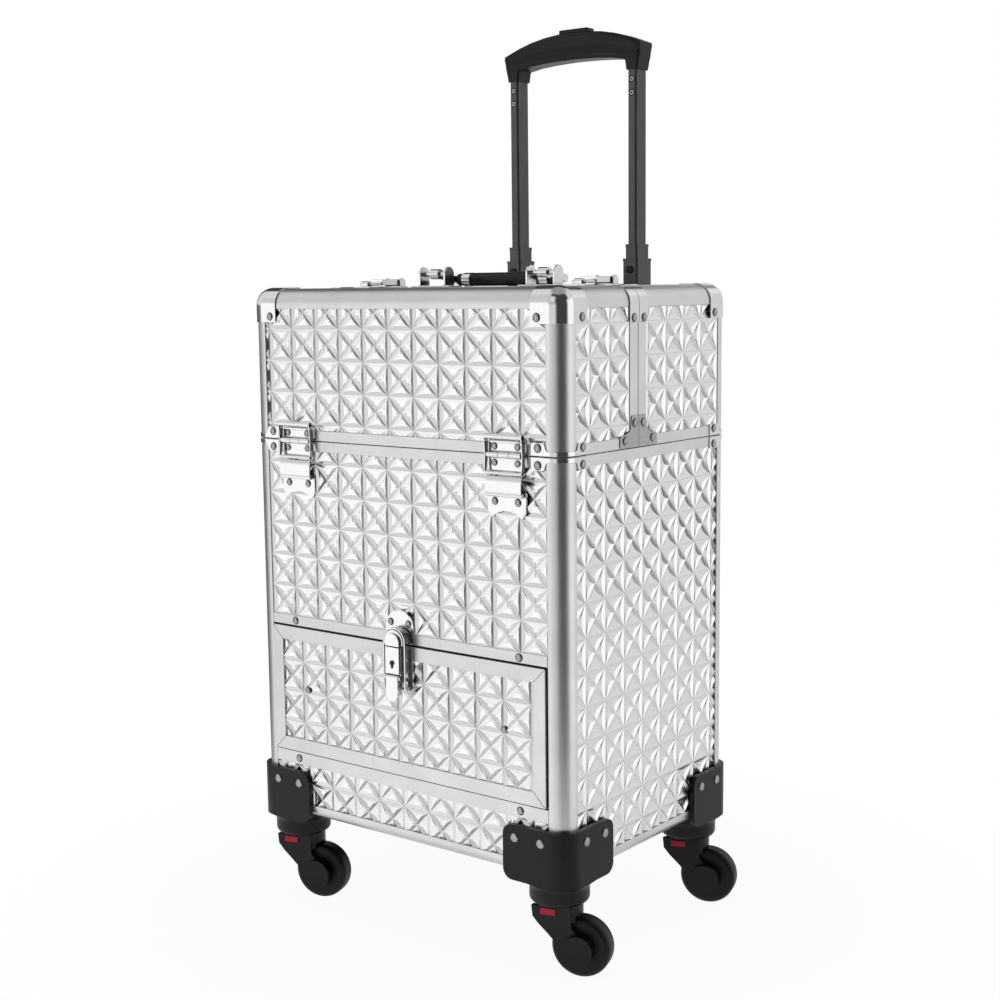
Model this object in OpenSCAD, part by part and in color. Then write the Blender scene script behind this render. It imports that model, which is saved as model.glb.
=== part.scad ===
/* [Case body] */
// Width of the case across its front
case_w = 340; // [310:1:400]
// Depth of the case from front to back
case_d = 247; // [220:1:290]
// Height of the case's underside above the floor
ground_h = 84.5; // [80:0.5:95]
// Height of the lower box
base_h = 340.7; // [320:1:400]
// Height of the two upper boxes
top_h = 131; // [115:1:160]
// Depth of the front upper box, measured to the split
front_half_d = 103.5; // [90:1:125]
// Gap between the lower box and the upper boxes
seam_gap = 0.5; // [0.3:0.1:1]
// Gap between the two upper boxes
split_gap = 0.5; // [0.3:0.1:1]

/* [Aluminium frame] */
// Width of a corner post's leg on each face
post_leg = 17; // [15:0.5:20]
// Radius of the rounded outer edges
corner_r = 10; // [6:0.5:10.5]
// Thickness of the metal lip in front of a panel
lip_t = 1.5; // [1:0.1:2]
// Thickness of the covered wall board
panel_t = 4; // [3:0.5:5]
// Side of the solid core behind a post's rounded edge
post_core = 11; // [11:0.5:13]
// Depth of the straight rails, measured into the case
rail_d = 8; // [7.5:0.5:10]
// Height of the rails on both sides of the seam
seam_rail_h = 9; // [8:0.5:11]
// Height of the rounded top rails
top_rail_h = 17.5; // [16:0.5:20]
// Height of the rounded bottom rails
bottom_rail_h = 12; // [11:0.5:14]
// Width of the frame strips along the split
split_rail_w = 12; // [11:0.5:14]
// How far a board reaches into its groove
groove_d = 5; // [3:0.5:6]
// Gap left where two extrusions meet
joint_gap = 0.1; // [0.05:0.05:0.2]

/* [Drawer] */
// Height of the strip below the drawer opening, above the underside
drawer_sill = 58.8; // [50:0.2:70]
// Height of the drawer opening
drawer_open_h = 116; // [95:1:120]
// Height of the rail below the drawer
low_rail_h = 11.5; // [10:0.5:13]
// Height of the rail above the drawer
high_rail_h = 9; // [8:0.5:11]
// Gap around the drawer front
drawer_gap = 1.2; // [0.8:0.1:2]
// Width of the drawer front's mitred frame
drawer_frame_w = 12; // [10:0.5:15]
// How far the drawer front stands out of the case
drawer_proud = 2; // [1:0.5:4]
// Wall thickness of the drawer box
drawer_wall = 4; // [3:0.5:6]
// Width of a drawer runner
runner_w = 10; // [9:0.5:12]
// Height of a drawer runner
runner_h = 26; // [20:1:36]

/* [Castors] */
// Distance of a castor's swivel axis from both faces of the case
castor_inset = 24; // [22:0.5:28]
// Length of a corner housing's flange
flange_l = 60; // [54:1:66]
// Height of a corner housing's flange above the underside
flange_h = 42; // [36:1:48]
// Thickness of a corner housing's wall
housing_t = 4.5; // [3.5:0.5:5]
// Radius of the round collar that holds the castor
collar_r = 24.8; // [23:0.2:26]
// Height of the collar's lower edge above the floor
collar_z = 61.5; // [58:0.5:64]
// Radius of the castor's neck
neck_r = 19.5; // [18:0.5:21]
// Radius of the wheel
wheel_r = 25; // [22:0.5:26]
// Width of the wheel
wheel_w = 18; // [15:0.5:20]
// Distance from the swivel axis to the wheel's axle
castor_trail = 20; // [18:0.5:22]
// Direction in which the castors trail, turned from the right towards the back
castor_angle = 17; // [0:1:90]
// Radius of the wheel's axle
axle_r = 3; // [2.5:0.1:4]
// Radius of the swivel stem
stem_r = 5.5; // [5:0.5:7]
// Radial clearance of shafts in their bores
run_fit = 0.05; // [0.02:0.01:0.1]

/* [Trolley handle] */
// Distance between the two trolley tubes
tube_pitch = 134; // [124:1:150]
// Width of the innermost tube
tube_w = 9.6; // [9:0.2:11]
// Depth of the innermost tube
tube_d = 17.6; // [16:0.2:19]
// How much each next tube is larger all round
tube_step = 1.7; // [1.6:0.1:2]
// Wall of the outer tubes
tube_wall = 1.2; // [1:0.1:1.3]
// Height of the fixed sleeve's top above the case
sleeve_h = 24; // [20:1:30]
// Height of the middle stage's collar
mid_collar_h = 13; // [11:1:16]
// Length of inner tube that shows above the collars
tube_out = 156; // [120:1:175]
// Height of the grip's legs
grip_leg_h = 16; // [14:1:20]

/* [Carry handle and latches] */
// Distance between the carry handle's two brackets
handle_pitch = 121; // [110:1:130]
// Height of the handle pins above the case
handle_pin_h = 11.5; // [11:0.5:14]
// Distance from the handle's pins to the grip
handle_reach = 26; // [22:1:32]
// Radius of the padded grip
grip_r = 6; // [5:0.5:7]
// Distance between the two front latches
latch_pitch = 230; // [200:1:250]
// Width of a front latch
latch_w = 38; // [34:1:42]
// Distance between the two top latches
toggle_pitch = 237; // [220:1:250]
// Radius of a rivet head
rivet_r = 2.7; // [2.2:0.1:3.2]
// Height of a rivet head
rivet_h = 1.2; // [0.8:0.1:1.6]

/* [Trays] */
// Height of each cantilever tray
tray_h = 30; // [24:1:34]
// Depth of each cantilever tray
tray_d = 92; // [80:1:95]
// Wall thickness of the trays
tray_t = 2.5; // [2:0.5:3.5]
// Length of a tray arm from its fixed pivot to the lower tray
arm_reach = 62; // [56:1:64]
// Lean of the arms when the case is shut
arm_lean = 46; // [40:1:50]

/* [Hidden] */
$fn = 64;
fit = 0.05;
hw = case_w / 2;
z_seam = ground_h + base_h;
z_up = z_seam + seam_gap;
z_top = z_up + top_h;
rear_y = front_half_d + split_gap;
open_hw = hw - post_leg;
board_in = lip_t + panel_t;

// Heights of the drawer opening and of the rails around it
open_z = ground_h + drawer_sill;
open_top = open_z + drawer_open_h;
low_rail_z = open_z - low_rail_h;
high_rail_top = open_top + high_rail_h;
seam_rail_z = z_seam - seam_rail_h;

// Inner floors
floor_t = 5;
floor_z = ground_h + 6;
deck_t = 4;
deck_z = open_top + 2;

// Drawer
front_lip = 1.5;
drawer_face_y = -drawer_proud;
drawer_panel_y = drawer_face_y + front_lip;
drawer_box_y = drawer_panel_y + panel_t + fit;
drawer_back_y = case_d - post_core - 1.5;
drawer_hw = open_hw - 2;
drawer_base_z = open_z + 3;
drawer_wall_top = open_top - 9;
runner_z = open_z + 40;
runner_slot = 12;
slider_l = 30;
channel_x0 = hw - board_in - fit - runner_w;

// Front hinges and the latches over them
knuckle_r = 2.6;
pin_r = 1.2;
leaf_t = 1.2;
hinge_y = -3.2;
hinge_z = (z_seam + z_up) / 2;
leaf_hw = 15;
leaf_rivet_x = 11.5;
leaf_rivet_dz = 6.5;
roll_r = 2.2;
roll_y = -4.5;
roll_z = hinge_z + 14.4;
frame_bar = 2.6;
latch_bar_z = hinge_z - 14.2;
lever_top_z = latch_bar_z - 2.6;
lever_pin_y = -3.8;
lever_pin_z = hinge_z - 31;
lever_roll_r = 2.4;
latch_base_z0 = hinge_z - 44.5;
latch_rivet_z = hinge_z - 37.2;

// Latch of the drawer
lock_hw = 7.6;
lock_y = drawer_face_y - 10;
lock_z0 = open_top - 24.1;
lock_z1 = open_top - 1.3;
drawer_pin_y = lock_y + 1.5;
drawer_pin_z = lock_z0 - 3.2;
tongue_y = drawer_pin_y - 2.5;
tongue_t = 1.6;
tongue_z0 = open_top - 47.3;
bail_pin_y = drawer_pin_y + 0.5;
bail_pin_z = drawer_pin_z - 9.5;
bail_pin_r = 1.2;
bail_hw = 12.5;
bail_t = 2;
bail_y0 = lock_y + 1;
bail_y1 = lock_y + 7;
bail_top_z = open_top + 15.3;
dome_top_z = open_top + 10.2;
keeper_top_z = open_top + 28.5;

// Top latches
toggle_pin_dy = 30;
toggle_pin_h = 4.6;
loop_pin_dy = 9;
loop_pin_h = 3.2;
loop_r = 1.3;
loop_hw = 6;

// Carry handle
handle_y = front_half_d + split_gap + split_rail_w + 9;
handle_pin_r = 2.2;
handle_pin_z = z_top + handle_pin_h;
handle_bar_r = 3;
handle_eye_r = 4.6;
handle_ear_x = 14.5;
handle_ear_t = 2;
handle_ear_r = 6.5;
grip_z = z_top + grip_r + 0.5;
grip_hl = 39;
ring_l = 9;
sleeve_l = 7;

// Trolley
tube_x = tube_pitch / 2;
mid_w = tube_w + 2 * tube_step;
mid_d = tube_d + 2 * tube_step;
out_w = mid_w + 2 * tube_step;
out_d = mid_d + 2 * tube_step;
tube_corner = 2.5;
tube_y = case_d + out_d / 2 + 0.4;
out_z0 = ground_h + 12;
out_top = z_top + sleeve_h;
mid_top = out_top + mid_collar_h;
mid_len = 460;
inner_top = mid_top + tube_out;
inner_len = 420;
ring_h = 2.5;
grip_bar_z = inner_top + grip_leg_h - 2;
grip_hw = tube_x + 9.5;
grip_half_d = 11;
grip_end_h = 14;
grip_mid_h = 25;
bracket_h = 18;
button_hl = 16;
button_hw = 6;
button_h = 3;
button_travel = 3;

// Castors
housing_z0 = ground_h - housing_t;
neck_top = collar_z - 0.5;
crown_t = 9;
neck_h = 14;
fork_gap = 1;
fork_arm_t = 4.6;
boss_t = 3.4;
boss_r = 13;
stem_top = housing_z0 - 3;
housing_rivet_z = ground_h + 31.5;
tyre_r = 5;
tab_w = 13;
tab_h = 5.6;
tab_out = 1.2;
tab_depth = 4;
tab_travel = 1.5;

// Plates over the corners and along the seam
plate_t = 0.8;
plate_l = 31;
plate_h = 10;
cap_t = 1;
cap_l = 31;
cap_h = 29;

// Trays and their arms
arm_y0 = 36;
arm_z0 = z_seam - 13;
arm_pitch = 50;
arm_step = 46;
arm_t = 2;
arm_r = 5;
arm_pin_r = 2;
arm_x = hw - rail_d - 3.4;
tray_pin_dy = 16;
tray_pin_dz = 8;
tray_hw = arm_x - arm_t - 0.6;

// The row's origin lies on the floor below the middle of the whole object's box
wheel_dx = castor_trail * cos(castor_angle);
wheel_reach = (wheel_r - tyre_r) * cos(castor_angle) + (wheel_w / 2 - tyre_r) * sin(castor_angle) + tyre_r;
x_max = hw - castor_inset + wheel_dx + wheel_reach;
x_min = -hw - housing_t - rivet_h;
y_min = tongue_y;
y_max = tube_y + out_d / 2 + 2;
frame_x = (x_min + x_max) / 2;
frame_y = (y_min + y_max) / 2;

// ---------------------------------------------------------------- placing

// Draws a part of the case in the row's frame
module placed() translate([-frame_x, -frame_y, 0]) children();

// Draws one thing at a corner of the case: its origin is the corner, and it grows into the case
module at_corner(side, back) {
    translate([side * hw, back ? case_d : 0, 0])
        mirror([side > 0 ? 1 : 0, 0, 0])
            mirror([0, back ? 1 : 0, 0])
                children();
}

// Extrudes a profile of depth and height along X
module along_x(x0, x1) {
    translate([x0, 0, 0]) rotate([90, 0, 90]) linear_extrude(x1 - x0) children();
}

// Extrudes a profile of depth and height along Y, on the left side of the case
module along_y(y0, y1) {
    translate([0, y1, 0]) rotate([90, 0, 0]) linear_extrude(y1 - y0) children();
}

// The same rail on the front or the back of the case
module front_rail(x0, x1, z) translate([0, 0, z]) along_x(x0, x1) children();
module back_rail(x0, x1, z) translate([0, case_d, 0]) mirror([0, 1, 0]) front_rail(x0, x1, z) children();

// The same rail on the left (-1) or the right (1) side of the case
module side_rail(side, y0, y1, z) {
    mirror([side > 0 ? 1 : 0, 0, 0]) translate([-hw, 0, z]) along_y(y0, y1) children();
}

module both_sides() {
    children();
    mirror([1, 0, 0]) children();
}

// A shaft along X
module shaft_x(x0, x1, y, z, r) translate([x0, y, z]) rotate([0, 90, 0]) cylinder(h = x1 - x0, r = r);

// ---------------------------------------------------------------- profiles

module corner_cut(r) {
    difference() {
        translate([-1, -1]) square(r + 1);
        translate([r, r]) circle(r);
    }
}

module rounded_rect(w, h, r) {
    square([w - 2 * r, h], center = true);
    square([w, h - 2 * r], center = true);
    for (x = [-1, 1], y = [-1, 1]) translate([x * (w / 2 - r), y * (h / 2 - r)]) circle(r);
}

module post_profile() {
    difference() {
        union() {
            square([post_leg, lip_t]);
            square([lip_t, post_leg]);
            square(post_core);
        }
        corner_cut(corner_r);
    }
}

// A straight rail: its outer face is at zero depth, and boards sit in grooves above or below it
module rail_profile(h, groove_up, groove_down) {
    difference() {
        square([rail_d, h]);
        if (groove_up) translate([lip_t, h - groove_d]) square([panel_t, groove_d + 1]);
        if (groove_down) translate([lip_t, -1]) square([panel_t, groove_d + 1]);
    }
}

module top_rail_profile() {
    shelf_h = top_rail_h - lip_t - panel_t;
    difference() {
        square([post_leg, top_rail_h]);
        translate([0, top_rail_h]) mirror([0, 1]) corner_cut(corner_r);
        translate([lip_t, -1]) square([panel_t, groove_d + 1]);
        translate([post_leg - groove_d, shelf_h]) square([groove_d + 1, panel_t]);
        translate([board_in + 2, -1]) square([post_leg, shelf_h - 2 + 1]);
    }
}

module bottom_rail_profile() {
    difference() {
        square([post_core + groove_d, bottom_rail_h]);
        corner_cut(corner_r);
        translate([lip_t, bottom_rail_h - groove_d]) square([panel_t, groove_d + 1]);
        translate([post_core, floor_z - ground_h]) square([groove_d + 1, bottom_rail_h]);
    }
}

// ---------------------------------------------------------------- small parts

// A rivet head that stands on a face seen along its own Z
module rivet(r = rivet_r, h = rivet_h) {
    ball = (r * r + h * h) / (2 * h);
    intersection() {
        translate([0, 0, h - ball]) sphere(ball);
        cylinder(h = h + 1, r = r + 1);
    }
}
module front_rivet(x, z, y = 0, r = rivet_r) translate([x, y, z]) rotate([90, 0, 0]) rivet(r);
module back_rivet(x, z, y = 0, r = rivet_r) translate([x, case_d - y, z]) rotate([-90, 0, 0]) rivet(r);
module side_rivet(side, y, z, out = 0, r = rivet_r) {
    translate([side * (hw + out), y, z]) rotate([0, side * 90, 0]) rivet(r);
}

// ---------------------------------------------------------------- lower box

module base_frame() color("silver") {
    rail_hw = open_hw - joint_gap;
    y0 = post_leg + joint_gap;
    y1 = case_d - y0;
    for (side = [-1, 1], back = [false, true])
        at_corner(side, back) translate([0, 0, ground_h]) linear_extrude(base_h) post_profile();
    front_rail(-rail_hw, rail_hw, ground_h) bottom_rail_profile();
    back_rail(-rail_hw, rail_hw, ground_h) bottom_rail_profile();
    front_rail(-rail_hw, rail_hw, seam_rail_z) rail_profile(seam_rail_h, false, true);
    back_rail(-rail_hw, rail_hw, seam_rail_z) rail_profile(seam_rail_h, false, true);
    for (side = [-1, 1]) {
        side_rail(side, y0, y1, ground_h) bottom_rail_profile();
        side_rail(side, y0, y1, seam_rail_z) rail_profile(seam_rail_h, false, true);
    }
}

module drawer_rails() color("silver") {
    rail_hw = open_hw - joint_gap;
    front_rail(-rail_hw, rail_hw, low_rail_z) rail_profile(low_rail_h, false, true);
    front_rail(-rail_hw, rail_hw, open_top) rail_profile(high_rail_h, true, false);
}

// A wall board that stands in the grooves of two rails
module board_x(z0, z1, back) {
    bw = hw - post_core - fit;
    y = back ? case_d - board_in + fit : lip_t + fit;
    translate([-bw, y, z0 - groove_d + fit]) cube([2 * bw, panel_t - 2 * fit, z1 - z0 + 2 * (groove_d - fit)]);
}
module board_y(side, y0, y1, z0, z1) {
    mirror([side > 0 ? 1 : 0, 0, 0])
        translate([-hw + lip_t + fit, y0, z0 - groove_d + fit])
            cube([panel_t - 2 * fit, y1 - y0, z1 - z0 + 2 * (groove_d - fit)]);
}

module base_panels() color("gainsboro") {
    sill = ground_h + bottom_rail_h;
    board_x(sill, low_rail_z, false);
    board_x(high_rail_top, seam_rail_z, false);
    board_x(sill, seam_rail_z, true);
    for (side = [-1, 1])
        board_y(side, post_core + fit, case_d - post_core - fit, sill, seam_rail_z);
}

module corner_notches() {
    for (side = [-1, 1], back = [false, true])
        at_corner(side, back) translate([-1, -1, -500]) cube([post_core + fit + 1, post_core + fit + 1, 1000]);
}

module floor_boards() color("dimgray") {
    e = post_core + fit;
    translate([-hw + e, e, floor_z]) cube([case_w - 2 * e, case_d - 2 * e, floor_t]);
    s = board_in + fit;
    difference() {
        translate([-hw + s, rail_d + fit, deck_z]) cube([case_w - 2 * s, case_d - rail_d - s - fit, deck_t]);
        corner_notches();
    }
}

module runner_channels() color("lightgray") {
    y0 = post_core + 1;
    y1 = case_d - post_core - 0.5;
    both_sides() difference() {
        translate([channel_x0, y0, runner_z - runner_h / 2]) cube([runner_w, y1 - y0, runner_h]);
        translate([channel_x0 - 1, y0 - 1, runner_z - runner_slot / 2])
            cube([runner_w, y1 - y0 + 2, runner_slot]);
    }
}

module tray_brackets() color("lightgray") {
    x0 = arm_x + 1;
    both_sides() {
        translate([x0, arm_y0 - 12, arm_z0 - 9]) cube([hw - rail_d - fit - x0, arm_pitch + 24, 19]);
        for (y = [arm_y0, arm_y0 + arm_pitch]) shaft_x(arm_x - arm_t - 0.4, x0 + 1, y, arm_z0, arm_pin_r);
    }
}

// ---------------------------------------------------------------- plates and rivets at the seam

// A thin plate that wraps round a corner post
module corner_plate(z0, h) {
    r = corner_r + plate_t;
    translate([0, 0, z0]) linear_extrude(h) difference() {
        translate([-plate_t, -plate_t]) difference() {
            square(plate_l + plate_t);
            corner_cut(r);
        }
        translate([-fit, -fit]) difference() {
            square(plate_l + 1);
            corner_cut(corner_r + fit);
        }
    }
}

// An angle plate on a side wall, beside the split
module split_plate(side, dir) {
    y = dir < 0 ? front_half_d : rear_y;
    translate([side > 0 ? hw : -hw - plate_t, y, z_up + 0.5])
        mirror([0, dir < 0 ? 1 : 0, 0]) {
            cube([plate_t, 10, 26]);
            cube([plate_t, 27, plate_h + 2]);
        }
}

module corner_plates() color("whitesmoke") {
    for (side = [-1, 1], back = [false, true])
        at_corner(side, back) corner_plate(z_seam - plate_h - 0.5, plate_h);
    for (side = [-1, 1]) {
        at_corner(side, true) corner_plate(z_up + 0.5, plate_h);
        split_plate(side, 1);
    }
}

module base_rivets() color("darkgray") {
    for (x = [-1, 1]) {
        front_rivet(x * (hw - 45), open_top + high_rail_h / 2);
        front_rivet(x * (hw - 45), low_rail_z + low_rail_h / 2);
        front_rivet(x * (hw - 24.4), z_seam - 6.5, -plate_t);
        back_rivet(x * (hw - 24.4), z_seam - 6.5, -plate_t);
        back_rivet(x * (hw - 24.4), z_up + 6.5, -plate_t);
        for (y = [24.4, case_d - 24.4]) side_rivet(x, y, z_seam - 6.5, plate_t);
        side_rivet(x, case_d - 24.4, z_up + 6.5, plate_t);
        side_rivet(x, rear_y + 6, z_up + 20, plate_t);
        side_rivet(x, rear_y + 20, z_up + 6.5, plate_t);
        side_rivet(x, rear_y + 7, z_top - 26, cap_t);
        side_rivet(x, case_d - 24, z_top - 24, cap_t);
        for (dx = [-leaf_rivet_x, leaf_rivet_x]) {
            front_rivet(x * latch_pitch / 2 + dx, hinge_z - leaf_rivet_dz, -leaf_t, 2.4);
            front_rivet(x * latch_pitch / 2 + dx, latch_rivet_z, -leaf_t, 2.4);
        }
    }
    for (x = [-9.8, 9.8]) front_rivet(x, open_top + 18, -1.5, 2.4);
    for (side = [-1, 1], back = [false, true], d = [22, 48])
        at_corner(side, back) {
            translate([d, -housing_t, housing_rivet_z]) rotate([90, 0, 0]) rivet();
            translate([-housing_t, d, housing_rivet_z]) rotate([0, -90, 0]) rivet();
        }
}

// ---------------------------------------------------------------- castor corners

// The outline of one flange of a corner housing, seen square to the face
module flange_outline() {
    r = 9;
    h = flange_h + housing_t;
    difference() {
        translate([-housing_t, 0]) square([flange_l + housing_t, h]);
        for (z = [0, h])
            translate([flange_l, z]) mirror([1, 0]) mirror([0, z > 0 ? 1 : 0]) corner_cut(r);
    }
}

module housing_shell() {
    r = corner_r + housing_t;
    intersection() {
        translate([0, 0, housing_z0]) linear_extrude(flange_h + housing_t) difference() {
            translate([-housing_t, -housing_t]) difference() {
                square(flange_l + housing_t);
                corner_cut(r);
            }
            difference() {
                translate([-fit, -fit]) difference() {
                    square(flange_l + 1);
                    corner_cut(corner_r + fit);
                }
                translate([flange_l + 10, flange_l + 10]) square(1);
            }
        }
        union() {
            translate([0, 0, housing_z0]) along_x(-housing_t, post_leg) square([post_leg + 10, 100]);
            translate([0, 2, housing_z0]) rotate([90, 0, 0]) linear_extrude(2 + housing_t) flange_outline();
            translate([2, 0, housing_z0]) mirror([1, 0, 0]) rotate([90, 0, 90])
                linear_extrude(2 + housing_t) flange_outline();
        }
    }
}

module castor_housing() {
    c = castor_inset;
    socket_r = stem_r + run_fit;
    flare = 7;
    difference() {
        union() {
            housing_shell();
            intersection() {
                translate([-housing_t, -housing_t, 0]) linear_extrude(ground_h) difference() {
                    square(flange_l + housing_t);
                    corner_cut(corner_r + housing_t);
                }
                union() {
                    translate([c, c, housing_z0]) cylinder(h = housing_t, r = collar_r + flare);
                    translate([c, c, 0]) rotate_extrude() difference() {
                        translate([0, collar_z]) square([collar_r + flare, housing_z0 - collar_z]);
                        translate([collar_r + flare, housing_z0 - flare]) circle(flare);
                        translate([collar_r, -1]) square([flare + 1, housing_z0 - flare + 1]);
                        translate([collar_r, collar_z]) mirror([1, 0]) corner_cut(4.5);
                    }
                }
            }
        }
        translate([c, c, collar_z - 1]) cylinder(h = stem_top - collar_z + 1.5, r = socket_r);
    }
}

module castor_housings() color("#2e2e30")
    for (side = [-1, 1], back = [false, true]) at_corner(side, back) castor_housing();

// The swivel axis of a castor, with the trailing direction along X
module at_castor(side, back) {
    translate([side * (hw - castor_inset), back ? case_d - castor_inset : castor_inset, 0])
        rotate([0, 0, castor_angle])
            children();
}

// The side arm of a fork, seen square to the wheel
module fork_arm_outline() {
    t = castor_trail;
    difference() {
        union() {
            polygon([
                [-neck_r, neck_top - 2], [-neck_r + 1, neck_top - 11], [-neck_r + 6, neck_top - 17],
                [-6, neck_top - 24], [t - 13, wheel_r - 1], [t, wheel_r],
                [t + 6, wheel_r + 11], [t - 2, wheel_r + 14], [t - 5.5, wheel_r + 18],
                [t - 5.5, neck_top - 2]
            ]);
            translate([t, wheel_r]) circle(boss_r);
        }
        translate([-50, neck_top - 0.01]) square([100, 50]);
    }
}

module castor_fork(side, back) color("#2b2b2d") at_castor(side, back) {
    arm_y = wheel_w / 2 + fork_gap;
    arm_out = arm_y + fork_arm_t;
    difference() {
        union() {
            intersection() {
                translate([0, 0, neck_top - neck_h]) cylinder(h = neck_h, r = neck_r);
                translate([-neck_r, -arm_out, 0]) cube([2 * neck_r, 2 * arm_out, neck_top]);
            }
            for (s = [-1, 1])
                translate([0, s > 0 ? arm_out : -arm_y, 0])
                    rotate([90, 0, 0]) linear_extrude(fork_arm_t) fork_arm_outline();
        }
        translate([castor_trail, arm_y, wheel_r]) rotate([90, 0, 0])
            cylinder(h = 2 * arm_y, r = wheel_r + 1.2);
        translate([-neck_r - 1, -arm_y, 0]) cube([castor_trail, 2 * arm_y, neck_top - crown_t - 3]);
        castor_button_box(fit);
    }
    translate([0, 0, neck_top - 1]) cylinder(h = stem_top - neck_top + 1, r = stem_r);
    for (s = [-1, 1])
        translate([castor_trail, s > 0 ? arm_out + boss_t : -arm_out, wheel_r])
            rotate([90, 0, 0]) cylinder(h = boss_t, r = boss_r);
    translate([castor_trail, arm_y, wheel_r]) rotate([90, 0, 0]) cylinder(h = 2 * arm_y, r = axle_r);
}

module castor_button_box(grow) {
    arm_out = wheel_w / 2 + fork_gap + fork_arm_t;
    translate([-5 - tab_w / 2 - grow, -arm_out - 1, neck_top - 8.5 - grow])
        cube([tab_w + 2 * grow, tab_depth + 1, tab_h + 2 * grow]);
}

module castor_button(side, back) color("#c4323c") at_castor(side, back) {
    arm_out = wheel_w / 2 + fork_gap + fork_arm_t;
    translate([-5 - tab_w / 2 + fit, -arm_out - tab_out, neck_top - 8.5 + fit])
        cube([tab_w - 2 * fit, tab_depth - tab_travel - 0.3 + tab_out, tab_h - 2 * fit]);
}

module castor_wheel(side, back) color("#1d1d1f") at_castor(side, back)
    translate([castor_trail, 0, wheel_r]) rotate([90, 0, 0]) rotate_extrude() difference() {
        union() {
            translate([axle_r + run_fit, -wheel_w / 2]) square([wheel_r - tyre_r - axle_r - run_fit, wheel_w]);
            translate([0, -wheel_w / 2 + tyre_r]) square([wheel_r, wheel_w - 2 * tyre_r]);
            for (s = [-1, 1]) translate([wheel_r - tyre_r, s * (wheel_w / 2 - tyre_r)]) circle(tyre_r);
        }
        translate([-1, -wheel_w]) square([1 + axle_r + run_fit, 2 * wheel_w]);
    }

// ---------------------------------------------------------------- trolley handle

module both_tubes() for (x = [-tube_x, tube_x]) translate([x, tube_y, 0]) children();

module tube(w, d, z0, z1) {
    translate([0, 0, z0]) linear_extrude(z1 - z0) difference() {
        rounded_rect(w, d, tube_corner);
        rounded_rect(w - 2 * tube_wall, d - 2 * tube_wall, tube_corner - tube_wall);
    }
}

// The plastic ring that closes the mouth of a tube round the next one
module tube_ring(w, d, inner_w, inner_d, z) {
    translate([0, 0, z]) linear_extrude(ring_h) difference() {
        rounded_rect(w + 0.8, d + 0.8, tube_corner + 0.4);
        rounded_rect(inner_w + 0.6, inner_d + 0.6, tube_corner);
    }
}

module trolley_outer_tubes() color("#4a4a4c") both_tubes() {
    tube(out_w, out_d, out_z0, out_top - ring_h);
    tube_ring(out_w, out_d, mid_w, mid_d, out_top - ring_h);
}

module trolley_bracket(z, h, floor_h) {
    bx = tube_x + out_w / 2 + 3;
    difference() {
        translate([-bx, case_d + fit, z]) cube([2 * bx, tube_y + out_d / 2 + 2 - case_d - fit, h]);
        both_tubes() translate([0, 0, z + floor_h]) linear_extrude(h + 2)
            rounded_rect(out_w + 2 * fit, out_d + 2 * fit, tube_corner);
        translate([-tube_x + out_w / 2 + 4, case_d + 6, z - 1])
            cube([2 * tube_x - out_w - 8, out_d, h + 2]);
    }
}

module trolley_brackets() color("#232325") {
    trolley_bracket(out_z0 - 4, bracket_h + 6, 4);
    trolley_bracket(seam_rail_z - 30, bracket_h, -1);
    trolley_bracket(z_top - top_rail_h - bracket_h - 12, bracket_h, -1);
}

module trolley_mid() color("#505052") both_tubes() {
    tube(mid_w, mid_d, mid_top - mid_len, mid_top - ring_h);
    tube_ring(mid_w, mid_d, tube_w, tube_d, mid_top - ring_h);
}

module trolley_inner() color("#565658") both_tubes() tube(tube_w, tube_d, inner_top - inner_len, inner_top);

module trolley_grip() color("#2a2a2c") {
    arch_r = (grip_hw * grip_hw + pow(grip_mid_h - grip_end_h, 2)) / (2 * (grip_mid_h - grip_end_h));
    difference() {
        union() {
            both_tubes() translate([0, 0, inner_top + fit]) linear_extrude(grip_bar_z + 3 - inner_top)
                rounded_rect(tube_w + 3, tube_d + 2, tube_corner);
            intersection() {
                translate([-grip_hw, tube_y - grip_half_d, grip_bar_z]) cube([2 * grip_hw, 2 * grip_half_d, 60]);
                translate([0, tube_y + 50, grip_bar_z + grip_mid_h - arch_r]) rotate([90, 0, 0])
                    cylinder(h = 100, r = arch_r, $fn = 200);
            }
        }
        translate([-button_hl - fit, tube_y - button_hw - fit, grip_bar_z + grip_mid_h - 9])
            cube([2 * (button_hl + fit), 2 * (button_hw + fit), 20]);
    }
}

module trolley_button() color("#38383a")
    translate([-button_hl, tube_y - button_hw, grip_bar_z + grip_mid_h - 9 + button_travel + 0.5])
        cube([2 * button_hl, 2 * button_hw, 9 - button_travel - 0.5 + button_h]);

// ---------------------------------------------------------------- upper boxes

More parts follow.
